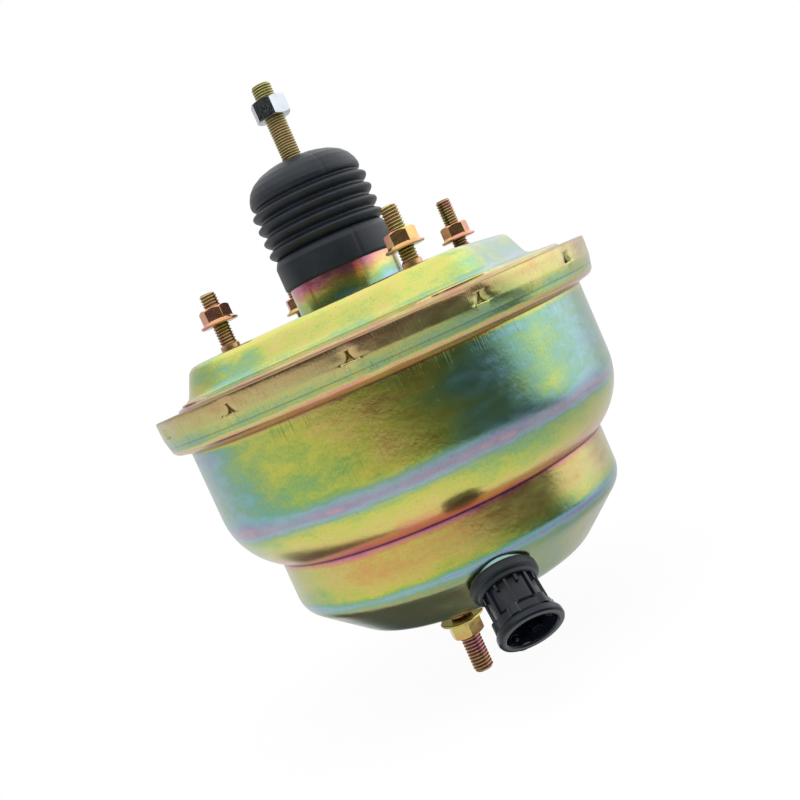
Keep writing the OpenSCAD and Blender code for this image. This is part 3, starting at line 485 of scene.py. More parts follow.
def moulded(name, light, dark, roughness, grain, depth, dust, gloss=0.5):
    """Rubber, plastic or felt: a mottled moulded skin, with dust in patches."""
    material, tree, shader, where = start_material(name, Metallic=0.0, Specular_IOR_Level=gloss)
    cloud = noise(tree, where, 70, 4, 0.6)
    skin = noise(tree, where, grain, 3, 0.6)
    rubs = wired(tree, marks, {"Vector": where, "Size": 1.4})
    base = ramp(tree, cloud, [(0.3, dark), (0.7, light)])["Color"]
    dusty = tuple(3.2 * channel + 0.02 for channel in light)
    base = tinted(tree, base, rubs["Rubbed"], dust, dusty)
    rough = between(tree, skin, 0.3, 0.7, roughness - 0.06, roughness + 0.08)
    rough = calc(tree, "MULTIPLY_ADD", rubs["Rubbed"], 0.12, rough)
    coated(tree, shader, base, rough, skin, 0.4, depth)
    return material


# The shells' finish, in the form that chromate_sheet takes. A ramp holds 32 stops at most.
FRONT_HEIGHTS = [
    (-151, 2.10, 0.15), (-127.5, 2.14, 0.2), (-125, 2.34, 0.2), (-124, 2.42, 0.2), (-122.6, 2.24, 0.5),
    (-120.5, 2.04, 0.5), (-112, 1.94, 0.4), (-104.5, 1.94, 0.4), (-103, 1.76, 0.4), (-101.6, 1.66, 0.3),
    (-98, 1.78, 0.2), (-95.6, 1.88, 0.2), (-93, 2.00, 0.2), (-86, 2.07, 0.2), (-82.2, 2.14, 0.2),
    (-80.2, 2.40, 0), (-79, 2.48, 0), (-78.2, 2.54, 0), (-77.2, 2.48, 0), (-75.4, 2.40, 0.2),
    (-72.5, 2.16, 0.8), (-69, FLANK_ORDER, 1), (-39, FLANK_ORDER, 1), (-37.2, 1.98, 0.7),
    (-36.2, 1.80, 0.2), (-33.4, 1.78, 0.2), (-32.4, 1.94, 0.3), (-31.6, 2.14, 0.3), (-28.2, 2.12, 0.3),
    (-25, 1.98, 0.35), (-20, 1.88, 0.3), (-16, 1.84, 0.2)]
FRONT_ANGLES = [
    (-180, 2.36), (-150, 2.40), (-130, 2.36), (-118, 2.28), (-108, 2.18), (-98, 2.11), (-86, 2.05),
    (-76, 2.06), (-66, 2.14), (-56, 2.24), (-47, 2.31), (-40, 2.33), (-32, 2.22), (-20, 2.32), (0, 2.30),
    (25, 2.22), (50, 2.08), (80, 1.95), (105, 2.06), (125, 2.30), (150, 2.10), (180, 2.36)]
FRONT_DULL = [
    (-180, 0.3), (-138, 0.45), (-120, 0.18), (-100, 0.06), (-80, 0.04), (-50, 0.12), (-36, 0.22),
    (-15, 0.36), (5, 0.45), (40, 0.15), (90, 0.10), (140, 0.15), (180, 0.3)]
# Painted shade by height: darker in the creases, at the band's edges and towards the front face; the third
# column is dullness
FRONT_SHADE_AND_DULL = [
    (-151, 0.62, 0.4), (-127.5, 0.68, 0.4), (-125, 0.92, 0.35), (-123.5, 1.0, 0.3), (-121.5, 1.0, 0),
    (-102.8, 1.0, 0), (-102.1, 1.0, 0.4), (-101.6, 0.25, 0), (-101.0, 0.25, 0), (-100.4, 1.0, 0.1),
    (-84, 1.0, 0.12), (-79.5, 1.0, 0.6), (-76.5, 1.0, 0.6), (-71, 1.0, 0), (-37.4, 1.0, 0),
    (-36.7, 1.0, 0.4), (-36.4, 0.35, 0), (-36.1, 0.35, 0), (-35.8, 1.0, 0.25), (-33.2, 1.0, 0.25),
    (-30.1, 1.0, 0.3), (-29.7, 0.6, 0.3), (-29.2, 1.0, 0.3), (-18, 0.95, 0.3), (-17.0, 0.4, 0.2)]
FRONT_DRAGS = [
    (-151, 0.2), (-60, 0.25), (-43, 0.3), (-40.5, 1.0), (-37, 1.0), (-36.3, 0), (-32, 0.3), (-30, 0.9),
    (-26, 0.5), (-17, 0.7)]
REAR_HEIGHTS = [
    (-28, 1.82, 0.2), (-17.4, 1.80, 0.2), (-16.2, 1.86, 0.3), (-15.3, 1.94, 0.3), (-14.4, 2.02, 0.4),
    (-13, 2.24, 0.5), (-11.6, 2.12, 0.5), (-6.5, 2.14, 0.5), (-4, 2.08, 0.5), (-0.8, 2.06, 0.6),
    (1.2, 2.14, 0.9), (3, 2.12, 0.8), (7, 2.0, 0.8), (9.5, 1.84, 0.7), (13.5, 1.68, 0.4), (29, 1.60, 0.2)]
REAR_ANGLES = [
    (-180, 2.40), (-150, 2.40), (-130, 2.06), (-110, 2.14), (-85, 2.10), (-60, 2.08), (-40, 2.10),
    (-25, 2.34), (0, 2.40), (40, 2.20), (80, 2.06), (120, 2.30), (150, 2.10), (180, 2.40)]
REAR_DULL = [
    (-180, 0.35), (-140, 0.3), (-110, 0.12), (-60, 0.12), (-20, 0.3), (20, 0.35), (90, 0.15), (180, 0.35)]
# Painted shade by height: darker where the rim goes in under the band and at the crease at the neck's foot;
# the dullness on the platform's sides also pales them as painted highlight from above
REAR_SHADE_AND_DULL = [
    (-28, 0.3, 0.2), (-18.6, 0.4, 0.2), (-17.6, 0.75, 0.3), (-15.6, 0.85, 0.35), (-15.0, 1.0, 0.45),
    (-14.2, 1.0, 0.35), (-12.5, 1.0, 0.22), (0.2, 1.0, 0.15), (0.8, 0.55, 0), (1.4, 1.0, 0), (29, 1.0, 0)]
REAR_DRAGS = [(-28, 0.4), (-12, 0.15), (2, 0.15), (29, 0.3)]

finishes = {
    "front_sheet": chromate_sheet("front_shell_chromate", FRONT_HEIGHTS, FRONT_ANGLES, FRONT_DULL,
                                  FRONT_SHADE_AND_DULL, FRONT_DRAGS, 0.22, 0.0),
    "rear_sheet": chromate_sheet("rear_shell_chromate", REAR_HEIGHTS, REAR_ANGLES, REAR_DULL,
                                 REAR_SHADE_AND_DULL, REAR_DRAGS, 0.34, 0.4),
    "zinc_fastener": chromate_steel("fastener_chromate", 1.76, 0.20, 0.14, 0.12),
    "master_nut": chromate_steel("master_nut_chromate", 1.93, 0.20, 0.14, 0.12),
    "stud_thread": chromate_steel("stud_chromate", 1.84, 0.25, 0.25, 0.24),
    "zinc_rod": chromate_steel("rod_chromate", 2.04, 0.22, 0.30, 0.24),
    "bright_steel": plain_steel("bright_zinc", (0.45, 0.48, 0.51), (0.36, 0.39, 0.42), 0.12, 1.0),
    "pressed_steel": plain_steel("pressed_steel", (0.50, 0.50, 0.50), (0.34, 0.34, 0.35), 0.32, 0.3),
    "spring_steel": plain_steel("spring_wire", (0.30, 0.30, 0.31), (0.16, 0.16, 0.17), 0.30, 0.6),
    "boot_rubber": moulded("boot_rubber", (0.008, 0.011, 0.016), (0.004, 0.006, 0.009), 0.42, 1100,
                           0.00005, 0.06, 0.33),
    "black_rubber": moulded("seal_rubber", (0.010, 0.013, 0.017), (0.005, 0.007, 0.009), 0.40, 1300,
                            0.00004, 0.06, 0.32),
    "black_plastic": moulded("plug_plastic", (0.005, 0.008, 0.013), (0.003, 0.004, 0.007), 0.10, 700,
                             0.00001, 0.01, 0.28),
    "piston_plastic": moulded("piston_plastic", (0.56, 0.52, 0.42), (0.46, 0.42, 0.33), 0.42, 800,
                              0.00004, 0.05),
    "filter_felt": moulded("filter_felt", (0.10, 0.10, 0.11), (0.05, 0.05, 0.055), 0.92, 1900,
                           0.0004, 0.15),
}


# Tools that shape the pieces

# Vertices nearer than this are one, in millimetres
MERGE = 0.0005


def all_of(bm):
    return bm.verts[:] + bm.edges[:] + bm.faces[:]


def verts_in(geometry):
    return [part for part in geometry if isinstance(part, bmesh.types.BMVert)]


def edges_in(geometry):
    return [part for part in geometry if isinstance(part, bmesh.types.BMEdge)]


def turn_z(bm, verts, degrees):
    turn = Matrix.Rotation(math.radians(degrees), 3, "Z")
    bmesh.ops.rotate(bm, verts=verts, cent=(0, 0, 0), matrix=turn)


def set_round(bm, verts, r, z, degrees):
    """Moves new vertices out to a radius and a height, then round Z."""
    bmesh.ops.translate(bm, verts=verts, vec=(r, 0, z))
    turn_z(bm, verts, degrees)


def draw(bm, start, moves):
    """A profile in the XZ plane. A move is (r, z), (r, z, steps) for a line in steps,
    or (r, z, degrees, steps) for a turn about that centre, anticlockwise with r to the right."""
    pen = bm.verts.new((start[0], 0, start[1]))
    drawn = [pen]
    for move in moves:
        if len(move) == 4:
            r, z, degrees, steps = move
            before = set(bm.verts)
            turn = bmesh.ops.spin(bm, geom=[pen], cent=(r, 0, z), axis=(0, -1, 0),
                                  angle=math.radians(degrees), steps=steps)
            pen = verts_in(turn["geom_last"])[0]
            drawn += [v for v in bm.verts if v not in before]
            continue
        steps = move[2] if len(move) == 3 else 1
        step = (Vector((move[0], 0, move[1])) - pen.co) / steps
        for _ in range(steps):
            grown = bmesh.ops.extrude_vert_indiv(bm, verts=[pen])["verts"][0]
            grown.co = pen.co + step
            pen = grown
            drawn.append(pen)
    return drawn


def edges_of(verts):
    """The edges whose both ends are among verts."""
    known = set(verts)
    return [e for e in {e for v in verts for e in v.link_edges} if set(e.verts) <= known]


def turn_profile(bm, drawn, steps, start_angle=0.0):
    """Spins a drawn profile once round Z. It returns the vertices of the turned piece."""
    if start_angle:
        turn_z(bm, drawn, start_angle)
    before = set(bm.verts) - set(drawn)
    bmesh.ops.spin(bm, geom=drawn + edges_of(drawn), cent=(0, 0, 0), axis=(0, 0, 1),
                   angle=2 * math.pi, steps=steps, use_merge=True)
    return [v for v in bm.verts if v not in before]


def wind(bm, drawn, turns, steps, rise):
    """Sweeps a drawn profile up a helix that rises by rise in each turn of so many steps."""
    bmesh.ops.spin(bm, geom=drawn + edges_of(drawn), cent=(0, 0, 0), axis=(0, 0, 1),
                   angle=2 * math.pi * turns, steps=int(steps * turns), dvec=(0, 0, rise / steps))


def lathe(bm, start, moves, steps=96, soften=0.0, start_angle=0.0):
    """A turned solid from a closed profile; soften rounds the profile's own corners."""
    drawn = draw(bm, start, moves)
    if soften:
        before = set(bm.verts) - set(drawn)
        inner = [v for v in drawn if len(v.link_edges) == 2]
        bmesh.ops.bevel(bm, geom=inner, offset=soften, segments=3, profile=0.5, affect="VERTICES",
                        material=-1)
        drawn = [v for v in bm.verts if v not in before]
    made = turn_profile(bm, drawn, steps, start_angle)
    bmesh.ops.remove_doubles(bm, verts=made, dist=MERGE)


def piece(bm, name, finish, body, stands_for=(), sharp=32, recalculate=True):
    """The bmesh, drawn in millimetres, as an object that rides on body and stands for CAD nodes."""
    bmesh.ops.remove_doubles(bm, verts=bm.verts, dist=MERGE)
    if recalculate:
        bmesh.ops.recalc_face_normals(bm, faces=bm.faces)
    bmesh.ops.scale(bm, vec=(MM, MM, MM), verts=bm.verts)
    mesh = bpy.data.meshes.new(name)
    bm.to_mesh(mesh)
    bm.free()
    mesh.shade_smooth()
    mesh.set_sharp_from_angle(angle=math.radians(sharp))
    mesh.materials.append(finishes[finish])
    made = put(name, mesh)
    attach(made, body)
    if stands_for:
        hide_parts(*stands_for)
    return made


def walled(made):
    """Gives a pressing its thickness, inwards from the faces that are drawn."""
    wall = made.modifiers.new("sheet", "SOLIDIFY")
    wall.thickness = SHEET * MM
    wall.offset = -1
    wall.use_even_offset = True
    wall.use_quality_normals = True


# Front shell: locking band with its lances, large chamber, step, small chamber, cone and front face

SHEET = 1.6
PORT_ANGLE = -63.1
PORT_FOOT = (74.02, 0, -135.551)
CONE_ANGLE = 41.3
FRONT_Z = -150.104
# The band: its widest radius, and how far, from where and over what height it is drawn in
BAND_R = 111.1
BAND_TOP = -17.65
DRAWN_IN = 1.4
DRAWN_FROM = 5
DRAWN_OVER = 8.15
BAND_STEPS = 240
# Where a vertex belongs to the band's wall: heights and least radius
BAND_LOW = -30.85
BAND_HIGH = -17.6
BAND_INSIDE = 95
# The lances: a slit, and above it a notch that narrows to a slot
LANCES = 12
LANCE_START = 14
SLIT_Z = -25.25
SLIT_HALF = 2.89
NOTCH_TALL = 4.5
SLOT_HALF = 0.45
NOTCH_FLARE = 0.8
NOTCH_CURVE = 1.3
# The notch's two flaps, pushed in
FLAP_DEPTH = 2.0
FLAP_WIDE = 1.7
FLAP_TALL = 5.5
# The lip under the slit, bulged out, and the dent round the lance
LIP_OUT = 0.5
LIP_TALL = 1.6
DENT_DEPTH = 0.5
DENT_RISE = 1.5
DENT_SPREAD = 18
# Half the widths that are cut finer and that are moved
FINE_HALF = 7
MOVED_HALF = 9


def rim_radius(z):
    """The band's own radius at a height: straight, then drawn in towards its lower edge."""
    down = BAND_TOP - z
    return BAND_R - DRAWN_IN * (max(0, down - DRAWN_FROM) / DRAWN_OVER) ** 1.5


def notch_half(rise):
    """Half the width of a lance's opening, this far above its slit."""
    return SLOT_HALF + (SLIT_HALF - SLOT_HALF) * math.exp(-((max(rise, 0) / NOTCH_FLARE) ** NOTCH_CURVE))


def push_lance(bm, angle):
    """Opens a lance in the band: a slit with a notch above it, whose two flaps are pushed in."""
    a = math.radians(angle)
    across = Vector((-math.sin(a), math.cos(a), 0))
    out = Vector((math.cos(a), math.sin(a), 0))

    def near(wide):
        return [v for v in bm.verts if BAND_LOW < v.co.z < BAND_HIGH and v.co.dot(out) > BAND_INSIDE
                and abs(v.co.dot(across)) < wide]

    rungs = [e for e in edges_of(near(FINE_HALF)) if abs(e.verts[0].co.z - e.verts[1].co.z) < 0.01
             and abs((e.verts[0].co + e.verts[1].co).dot(across)) / 2 < 2 * SLIT_HALF]
    bmesh.ops.subdivide_edges(bm, edges=rungs, cuts=5, use_grid_fill=True)
    patch = near(FINE_HALF)
    for v in patch:
        flat = Vector((v.co.x, v.co.y))
        flat *= rim_radius(v.co.z) / flat.length
        v.co.x, v.co.y = flat
    open_faces = []
    for f in {f for v in patch for f in v.link_faces}:
        middle = f.calc_center_median()
        if abs(middle.dot(across)) < SLIT_HALF and 0 < middle.z - SLIT_Z < NOTCH_TALL:
            open_faces.append(f)
    bmesh.ops.delete(bm, geom=open_faces, context="FACES")
    for v in near(MOVED_HALF):
        u = v.co.dot(across)
        rise = v.co.z - SLIT_Z
        half = notch_half(rise)
        drawn_in = 0.0
        if 0.01 < rise < NOTCH_TALL + 0.01 and abs(u) < 2 * SLIT_HALF:
            if abs(u) > SLIT_HALF:
                moved = 2 * SLIT_HALF - (2 * SLIT_HALF - abs(u)) * (2 * SLIT_HALF - half) / SLIT_HALF
            else:
                moved = abs(u) * half / SLIT_HALF
            v.co += across * math.copysign(abs(u) - moved, -u)
            edge = math.exp(-((moved - half) / FLAP_WIDE) ** 2)
            drawn_in = FLAP_DEPTH * (1 - half / SLIT_HALF) * (1 - rise / FLAP_TALL) * edge
            u = moved
        if -LIP_TALL < rise < 0.01 and abs(u) < SLIT_HALF:
            drawn_in -= LIP_OUT * (1 + rise / LIP_TALL) * (1 - (u / SLIT_HALF) ** 2)
        if rise > 0.01:
            drawn_in += DENT_DEPTH * math.exp(-(u * u + (rise - DENT_RISE) ** 2) / DENT_SPREAD)
        v.co -= out * drawn_in


def face_outwards(bm):
    """Turns the faces of an open shell away from its middle."""
    bmesh.ops.recalc_face_normals(bm, faces=bm.faces)
    middle = Vector((0, 0, -60))
    if sum(f.calc_area() * f.normal.dot(f.calc_center_median() - middle) for f in bm.faces) < 0:
        bmesh.ops.reverse_faces(bm, faces=bm.faces)


def move_to_port(bm):
    """Takes what is drawn in the port's own frame, Z out along the cone's normal, to its place."""
    place = (Matrix.Rotation(math.radians(PORT_ANGLE), 4, "Z") @ Matrix.Translation(PORT_FOOT)
             @ Matrix.Rotation(math.radians(180 - CONE_ANGLE), 4, "Y"))
    bmesh.ops.transform(bm, matrix=place, verts=bm.verts)


def make_front_shell():
    """The pressing, drawn from the band's top edge to the output rod's hole, and the port's boss."""
    bm = bmesh.new()
    band = [(rim_radius(z), z) for z in (-18.7, -19.75)]
    band.append((rim_radius(SLIT_Z), SLIT_Z, 11))
    band += [(rim_radius(z), z) for z in (-25.75, -26.3, -27.2, -29.0)]
    chambers = [
        (109.70, -30.8), (105.7, -30.8, -90, 8), (103.0, -35.6), (101.6, -36.3), (101.6, -70.9, 10),
        (66.13, -70.9, -59, 20), (84.4, -102.0), (84.4, -121.0, 6), (72.4, -121.0, CONE_ANGLE - 90, 12),
        (61.93, -146.2, 6), (51.5, -134.304, -CONE_ANGLE, 10), (22, FRONT_Z, 3), (20.4, -149.7),
        (20, -148.6), (20, -142.2), (19.2, -141.104), (7, -141.104, 2)]
    drawn = draw(bm, (110.0, -16.9), [(110.35, -16.9), (110.35, BAND_TOP, -90, 4)] + band + chambers)
    turn_profile(bm, drawn, BAND_STEPS, LANCE_START)
    bmesh.ops.remove_doubles(bm, verts=bm.verts, dist=MERGE)
    face_outwards(bm)
    for i in range(LANCES):
        push_lance(bm, LANCE_START + 360 * i / LANCES)
    made = piece(bm, "front_shell_pressing", "front_sheet", "housing", ["front_shell"],
                 sharp=38, recalculate=False)
    walled(made)
    bm = bmesh.new()
    lathe(bm, (11, -7.5), [(14.4, -7.5), (14.2, 0.2), (11, 0.2), (11, -7.5)])
    move_to_port(bm)
    piece(bm, "port_boss", "front_sheet", "housing")


# Rear shell: rounded-square platform with its flare, shelf, rim, clamped flange and neck

CORNER = 41.5
CORNER_STEPS = 36
SIDE_STEPS = 24


def grow_ring(bm, edges, shape):
    """Extrudes a closed loop of edges, and gives each new vertex the place that shape finds for it."""
    grown = bmesh.ops.extrude_edge_only(bm, edges=edges)["geom"]
    for v in verts_in(grown):
        v.co = shape(v.co)
    return edges_in(grown)


def on_circle(r, z, share=1.0):
    """A place on a circle at the same angle, or part of the way to it."""
    def shape(co):
        flat = Vector((co.x, co.y))
        target = flat.normalized() * r
        moved = flat.lerp(target, share)
        return Vector((moved.x, moved.y, z))
    return shape


def grow_round(bm, edges, r, z, radius, start, turn):
    """Grows a loop of edges round an arc of the profile, from an angle in degrees by a turn."""
    for i in range(7):
        a = math.radians(start + turn * i / 6)
        edges = grow_ring(bm, edges, on_circle(r + radius * math.cos(a), z + radius * math.sin(a)))
    return edges


def make_rear_shell():
    """The platform's flare, swept round a corner and a side and copied; shelf, rim and flange grow from
    its foot and the neck from its crown."""
    bm = bmesh.new()
    drawn = draw(bm, (26.5, 0), [(26.5, -5, -65.5, 8), (34.96, -11.51, 4), (39.15, -9.6, 65.5, 8)])
    bmesh.ops.translate(bm, verts=drawn, vec=(CORNER, CORNER, 0))
    corner = bmesh.ops.spin(bm, geom=drawn + edges_of(drawn), cent=(CORNER, CORNER, 0), axis=(0, 0, 1),
                            angle=math.pi / 2, steps=CORNER_STEPS)
    bmesh.ops.spin(bm, geom=corner["geom_last"], cent=(0, 0, 0), axis=(0, 0, 1), angle=0,
                   dvec=(-2 * CORNER / SIDE_STEPS, 0, 0), steps=SIDE_STEPS)
    quarter = all_of(bm)
    for degrees in (90, 180, 270):
        copy = bmesh.ops.duplicate(bm, geom=quarter)["geom"]
        turn_z(bm, verts_in(copy), degrees)
    bmesh.ops.remove_doubles(bm, verts=bm.verts, dist=0.001)
    foot = [e for e in bm.edges if e.is_boundary and e.verts[0].co.z < -14]
    crown = [e for e in bm.edges if e.is_boundary and e.verts[0].co.z > -0.01]
    foot = grow_ring(bm, foot, on_circle(98.0, -14.7, 0.5))
    foot = grow_ring(bm, foot, on_circle(97.2, -15.25))
    foot = grow_round(bm, foot, 97.7, -17.1, 1.7, 105, -105)
    for r, z in ((99.4, -20.5), (99.4, -24.2), (100.2, -25.3), (107.5, -25.3)):
        foot = grow_ring(bm, foot, on_circle(r, z))
    for share in (0.35, 0.75):
        crown = grow_ring(bm, crown, on_circle(30.2, 0, share))
    crown = grow_round(bm, crown, 28.9, 1.7, 1.7, 270, -90)
    for r, z in ((27.2, 8), (27.2, 15), (27.2, 27.6), (26.7, 28.2), (25.7, 28.2)):
        crown = grow_ring(bm, crown, on_circle(r, z))
    bmesh.ops.remove_doubles(bm, verts=bm.verts, dist=MERGE)
    face_outwards(bm)
    made = piece(bm, "rear_shell_pressing", "rear_sheet", "housing", ["rear_shell"], sharp=38,
                 recalculate=False)
    walled(made)


# Studs and nuts

# Each stud's place, the height of its nut and the nut's turn in degrees
STUDS = [(47.7, -47.7, 8.5, 12), (-47.7, -47.7, 12.9, 20), (47.7, 47.7, 6.4, 22), (-47.7, 47.7, 6.9, 0)]
MASTER_Y = 42.86
MASTER_NUT_GAP = 3.5
# A stud's thread radius, pitch, collar radius, length and root; a nut's bore, flat, height and flange
FIREWALL_STUD = (3.97, 1.411, 4.6, 28, 4.6)
FIREWALL_NUT = (3.75, 12.7, 8.3, 9.03)
MASTER_STUD = (4.765, 1.5875, 5.365, 30.4, 4.6)
MASTER_NUT = (4.5, 14.3, 8.9, 10.55)
NUT_EDGE = 0.3
THREAD_DEPTH = 0.42
# The chamfer at a thread's tip
TIP_TALL = 0.9
TIP_STEP = 0.055
TIP_SLOPE = 0.9


def cut_flat(bm, z, upper):
    """Cuts an open thread off square at a height and closes it, keeping what is below if upper."""
    normal = (0, 0, 1 if upper else -1)
    cut = bmesh.ops.bisect_plane(bm, geom=all_of(bm), plane_co=(0, 0, z), plane_no=normal,
                                 clear_outer=True)
    bmesh.ops.holes_fill(bm, edges=edges_in(cut["geom_cut"]), sides=0)


def cut_hexagon(bm, flat):
    """Cuts a turned blank to a hexagon of this width across its flats."""
    for i in range(6):
        a = math.radians(60 * i + 30)
        out = Vector((math.cos(a), math.sin(a), 0))
        bmesh.ops.bisect_plane(bm, geom=all_of(bm), plane_co=out * flat / 2, plane_no=out,
                               clear_outer=True)
        bmesh.ops.holes_fill(bm, edges=[e for e in bm.edges if e.is_boundary], sides=0)


def thread(r, pitch, low, high, steps=28):
    """A bmesh of a rolled screw thread with a chamfered tip, wound up Z, its root marked in a layer."""
    bm = bmesh.new()
    depth = THREAD_DEPTH * pitch
    root = r - depth
    turns = math.ceil((high - low) / pitch) + 2
    drawn = draw(bm, (root, low - pitch), [
        (root + 0.1 * depth, low - 0.86 * pitch), (r - 0.1 * depth, low - 0.62 * pitch),
        (r, low - 0.50 * pitch), (r - 0.1 * depth, low - 0.38 * pitch),
        (root + 0.1 * depth, low - 0.14 * pitch), (root, low)])
    wind(bm, drawn, turns, steps, pitch)
    bmesh.ops.remove_doubles(bm, verts=bm.verts, dist=MERGE)
    cut_flat(bm, high, True)
    cut_flat(bm, low, False)
    layer = bm.verts.layers.float.new(ROOT_LAYER)
    for v in bm.verts:
        flat = math.hypot(v.co.x, v.co.y)
        v[layer] = min(1, max(0, (r - flat) / depth)) if flat > 0.5 * r else 0
        above = v.co.z - (high - TIP_TALL)
        most = r - TIP_STEP - TIP_SLOPE * above if above > 0 else r
        if flat > most:
            v.co.x *= most / flat
            v.co.y *= most / flat
    return bm


def add_copy(bm, other, matrix):
    """Adds a turned, placed copy of another bmesh, and frees the other."""
    bmesh.ops.transform(other, matrix=matrix, verts=other.verts)
    bmesh.ops.recalc_face_normals(other, faces=other.faces)
    mesh = bpy.data.meshes.new("copied")
    other.to_mesh(mesh)
    other.free()
    bm.from_mesh(mesh)
    bpy.data.meshes.remove(mesh)


def stud(r, pitch, collar_r, length, root_depth):
    """A stud: head and shank behind the sheet, locating collar, thread."""
    bm = thread(r, pitch, 3.2, length)
    lathe(bm, (0, -root_depth - 3.4), [
        (r + 4, -root_depth - 3.4), (r + 4, -root_depth), (collar_r + 0.4, -root_depth),
        (collar_r + 0.4, -0.05), (collar_r, 0), (collar_r, 2.5), (collar_r - 0.4, 3), (r - 0.3, 3.25),
        (0, 3.3)], 64)
    return bm


def flange_nut(bore, flat, tall, flange_r):
    """A flange nut: its hexagon cut from a turned blank, over a flange with a rolled edge."""
    corner = flat / math.sqrt(3)
    bm = bmesh.new()
    lathe(bm, (bore, 0.4), [
        (bore, tall - 0.7), (bore + 0.8, tall), (corner - 1.1, tall), (corner + 0.3, tall - 1.1),
        (corner + 0.3, 0.4), (bore, 0.4)])
    cut_hexagon(bm, flat)
    lathe(bm, (bore, 0), [
        (flange_r - 0.6, 0), (flange_r - 0.1, 0.35), (flange_r, 0.8), (flange_r - 0.25, 1.25),
        (flange_r - 0.7, 1.4), (flange_r - 0.95, 1.15), (corner + 0.4, 1.5), (corner - 0.4, 2.5),
        (bore, 2.5), (bore, 0)])
    return bm


def edge_break(made, width, angle):
    """Breaks the sharp edges of a machined piece."""
    soft = made.modifiers.new("edges", "BEVEL")
    soft.width = width * MM
    soft.segments = 3
    soft.limit_method = "ANGLE"
    soft.angle_limit = math.radians(angle)


def make_studs():
    """The four firewall studs and the two on the front face, each set with its flange nuts."""
    studs = [Matrix.Translation((x, y, 0)) @ Matrix.Rotation(1.3 * i, 4, "Z")
             for i, (x, y, _, _) in enumerate(STUDS)]
    nuts = [Matrix.Translation((x, y, z)) @ Matrix.Rotation(math.radians(turn), 4, "Z")
            for x, y, z, turn in STUDS]
    master, master_nuts = [[Matrix.Translation((0, side * MASTER_Y, z)) @ Matrix.Rotation(math.pi, 4, "X")
                            for side in (-1, 1)] for z in (FRONT_Z, FRONT_Z - MASTER_NUT_GAP)]
    for make, sizes, places, name, finish, node in (
            (stud, FIREWALL_STUD, studs, "firewall_stud_set", "stud_thread", "firewall_studs"),
            (flange_nut, FIREWALL_NUT, nuts, "firewall_nut_set", "zinc_fastener", "firewall_stud_nuts"),
            (stud, MASTER_STUD, master, "master_stud_set", "stud_thread", "master_studs"),
            (flange_nut, MASTER_NUT, master_nuts, "master_nut_set", "master_nut", "master_stud_nuts")):
        bm = bmesh.new()
        for place in places:
            add_copy(bm, make(*sizes), place)
        made = piece(bm, name, finish, "housing", [node], recalculate=False)
        if make is flange_nut:
            edge_break(made, NUT_EDGE, 40)


# Pedal rod with its nut

# Where the nut's two faces are along the rod, and its width across the flats
ROD_NUT = (93.7, 103.0)
ROD_NUT_FLAT = 16
BALL_Z = -1.0


def make_pedal_rod():
    bm = thread(5.0, 1.25, 34, 110.6, 32)
    lathe(bm, (0, BALL_Z - 4.2), [
        (0, BALL_Z, 138, 16), (3, BALL_Z + 9), (4.7, BALL_Z + 11), (4.7, 34.3), (0, 34.4)], 48)
    piece(bm, "pedal_rod_threaded", "zinc_rod", "pedal_rod", ["pedal_rod"])
    low, high = ROD_NUT
    corner = ROD_NUT_FLAT / math.sqrt(3)
    bm = bmesh.new()
    lathe(bm, (4.8, low + 0.7), [(4.8, high - 0.7), (5.5, high), (corner - 1.1, high),
                                 (corner + 0.5, high - 0.95), (corner + 0.5, low + 0.95),
                                 (corner - 1.1, low), (5.5, low), (4.8, low + 0.7)])
    cut_hexagon(bm, ROD_NUT_FLAT)
    nut = piece(bm, "rod_hex_nut", "bright_steel", "pedal_rod", ["rod_nut"])
    edge_break(nut, NUT_EDGE, 40)


# Boot: cuff on the neck, folds and dome, lip round the rod

CUFF_TOP = 30.3
FOLDS = 4
FOLD_PITCH = 6.35
# The mould's parting line, in degrees and millimetres, down to the radius that it ends at
PARTING = -46
PARTING_HALF = 1.2
PARTING_DEPTH = 0.35
PARTING_END = 12
# The nub on the dome: its radius, and its distance from the axis, angle and height
NUB = (1.1, 10.4, 0.6, 72.0)


def mark_parting(bm):
    """Presses the mould's parting line in, down both sides of the boot."""
    for v in bm.verts:
        angle = math.degrees(math.atan2(v.co.y, v.co.x))
        off = min(abs(angle - PARTING), abs(angle - PARTING - 180))
        flat = math.hypot(v.co.x, v.co.y)
        if off < PARTING_HALF and flat > PARTING_END:
            v.co.x *= 1 - PARTING_DEPTH / flat
            v.co.y *= 1 - PARTING_DEPTH / flat


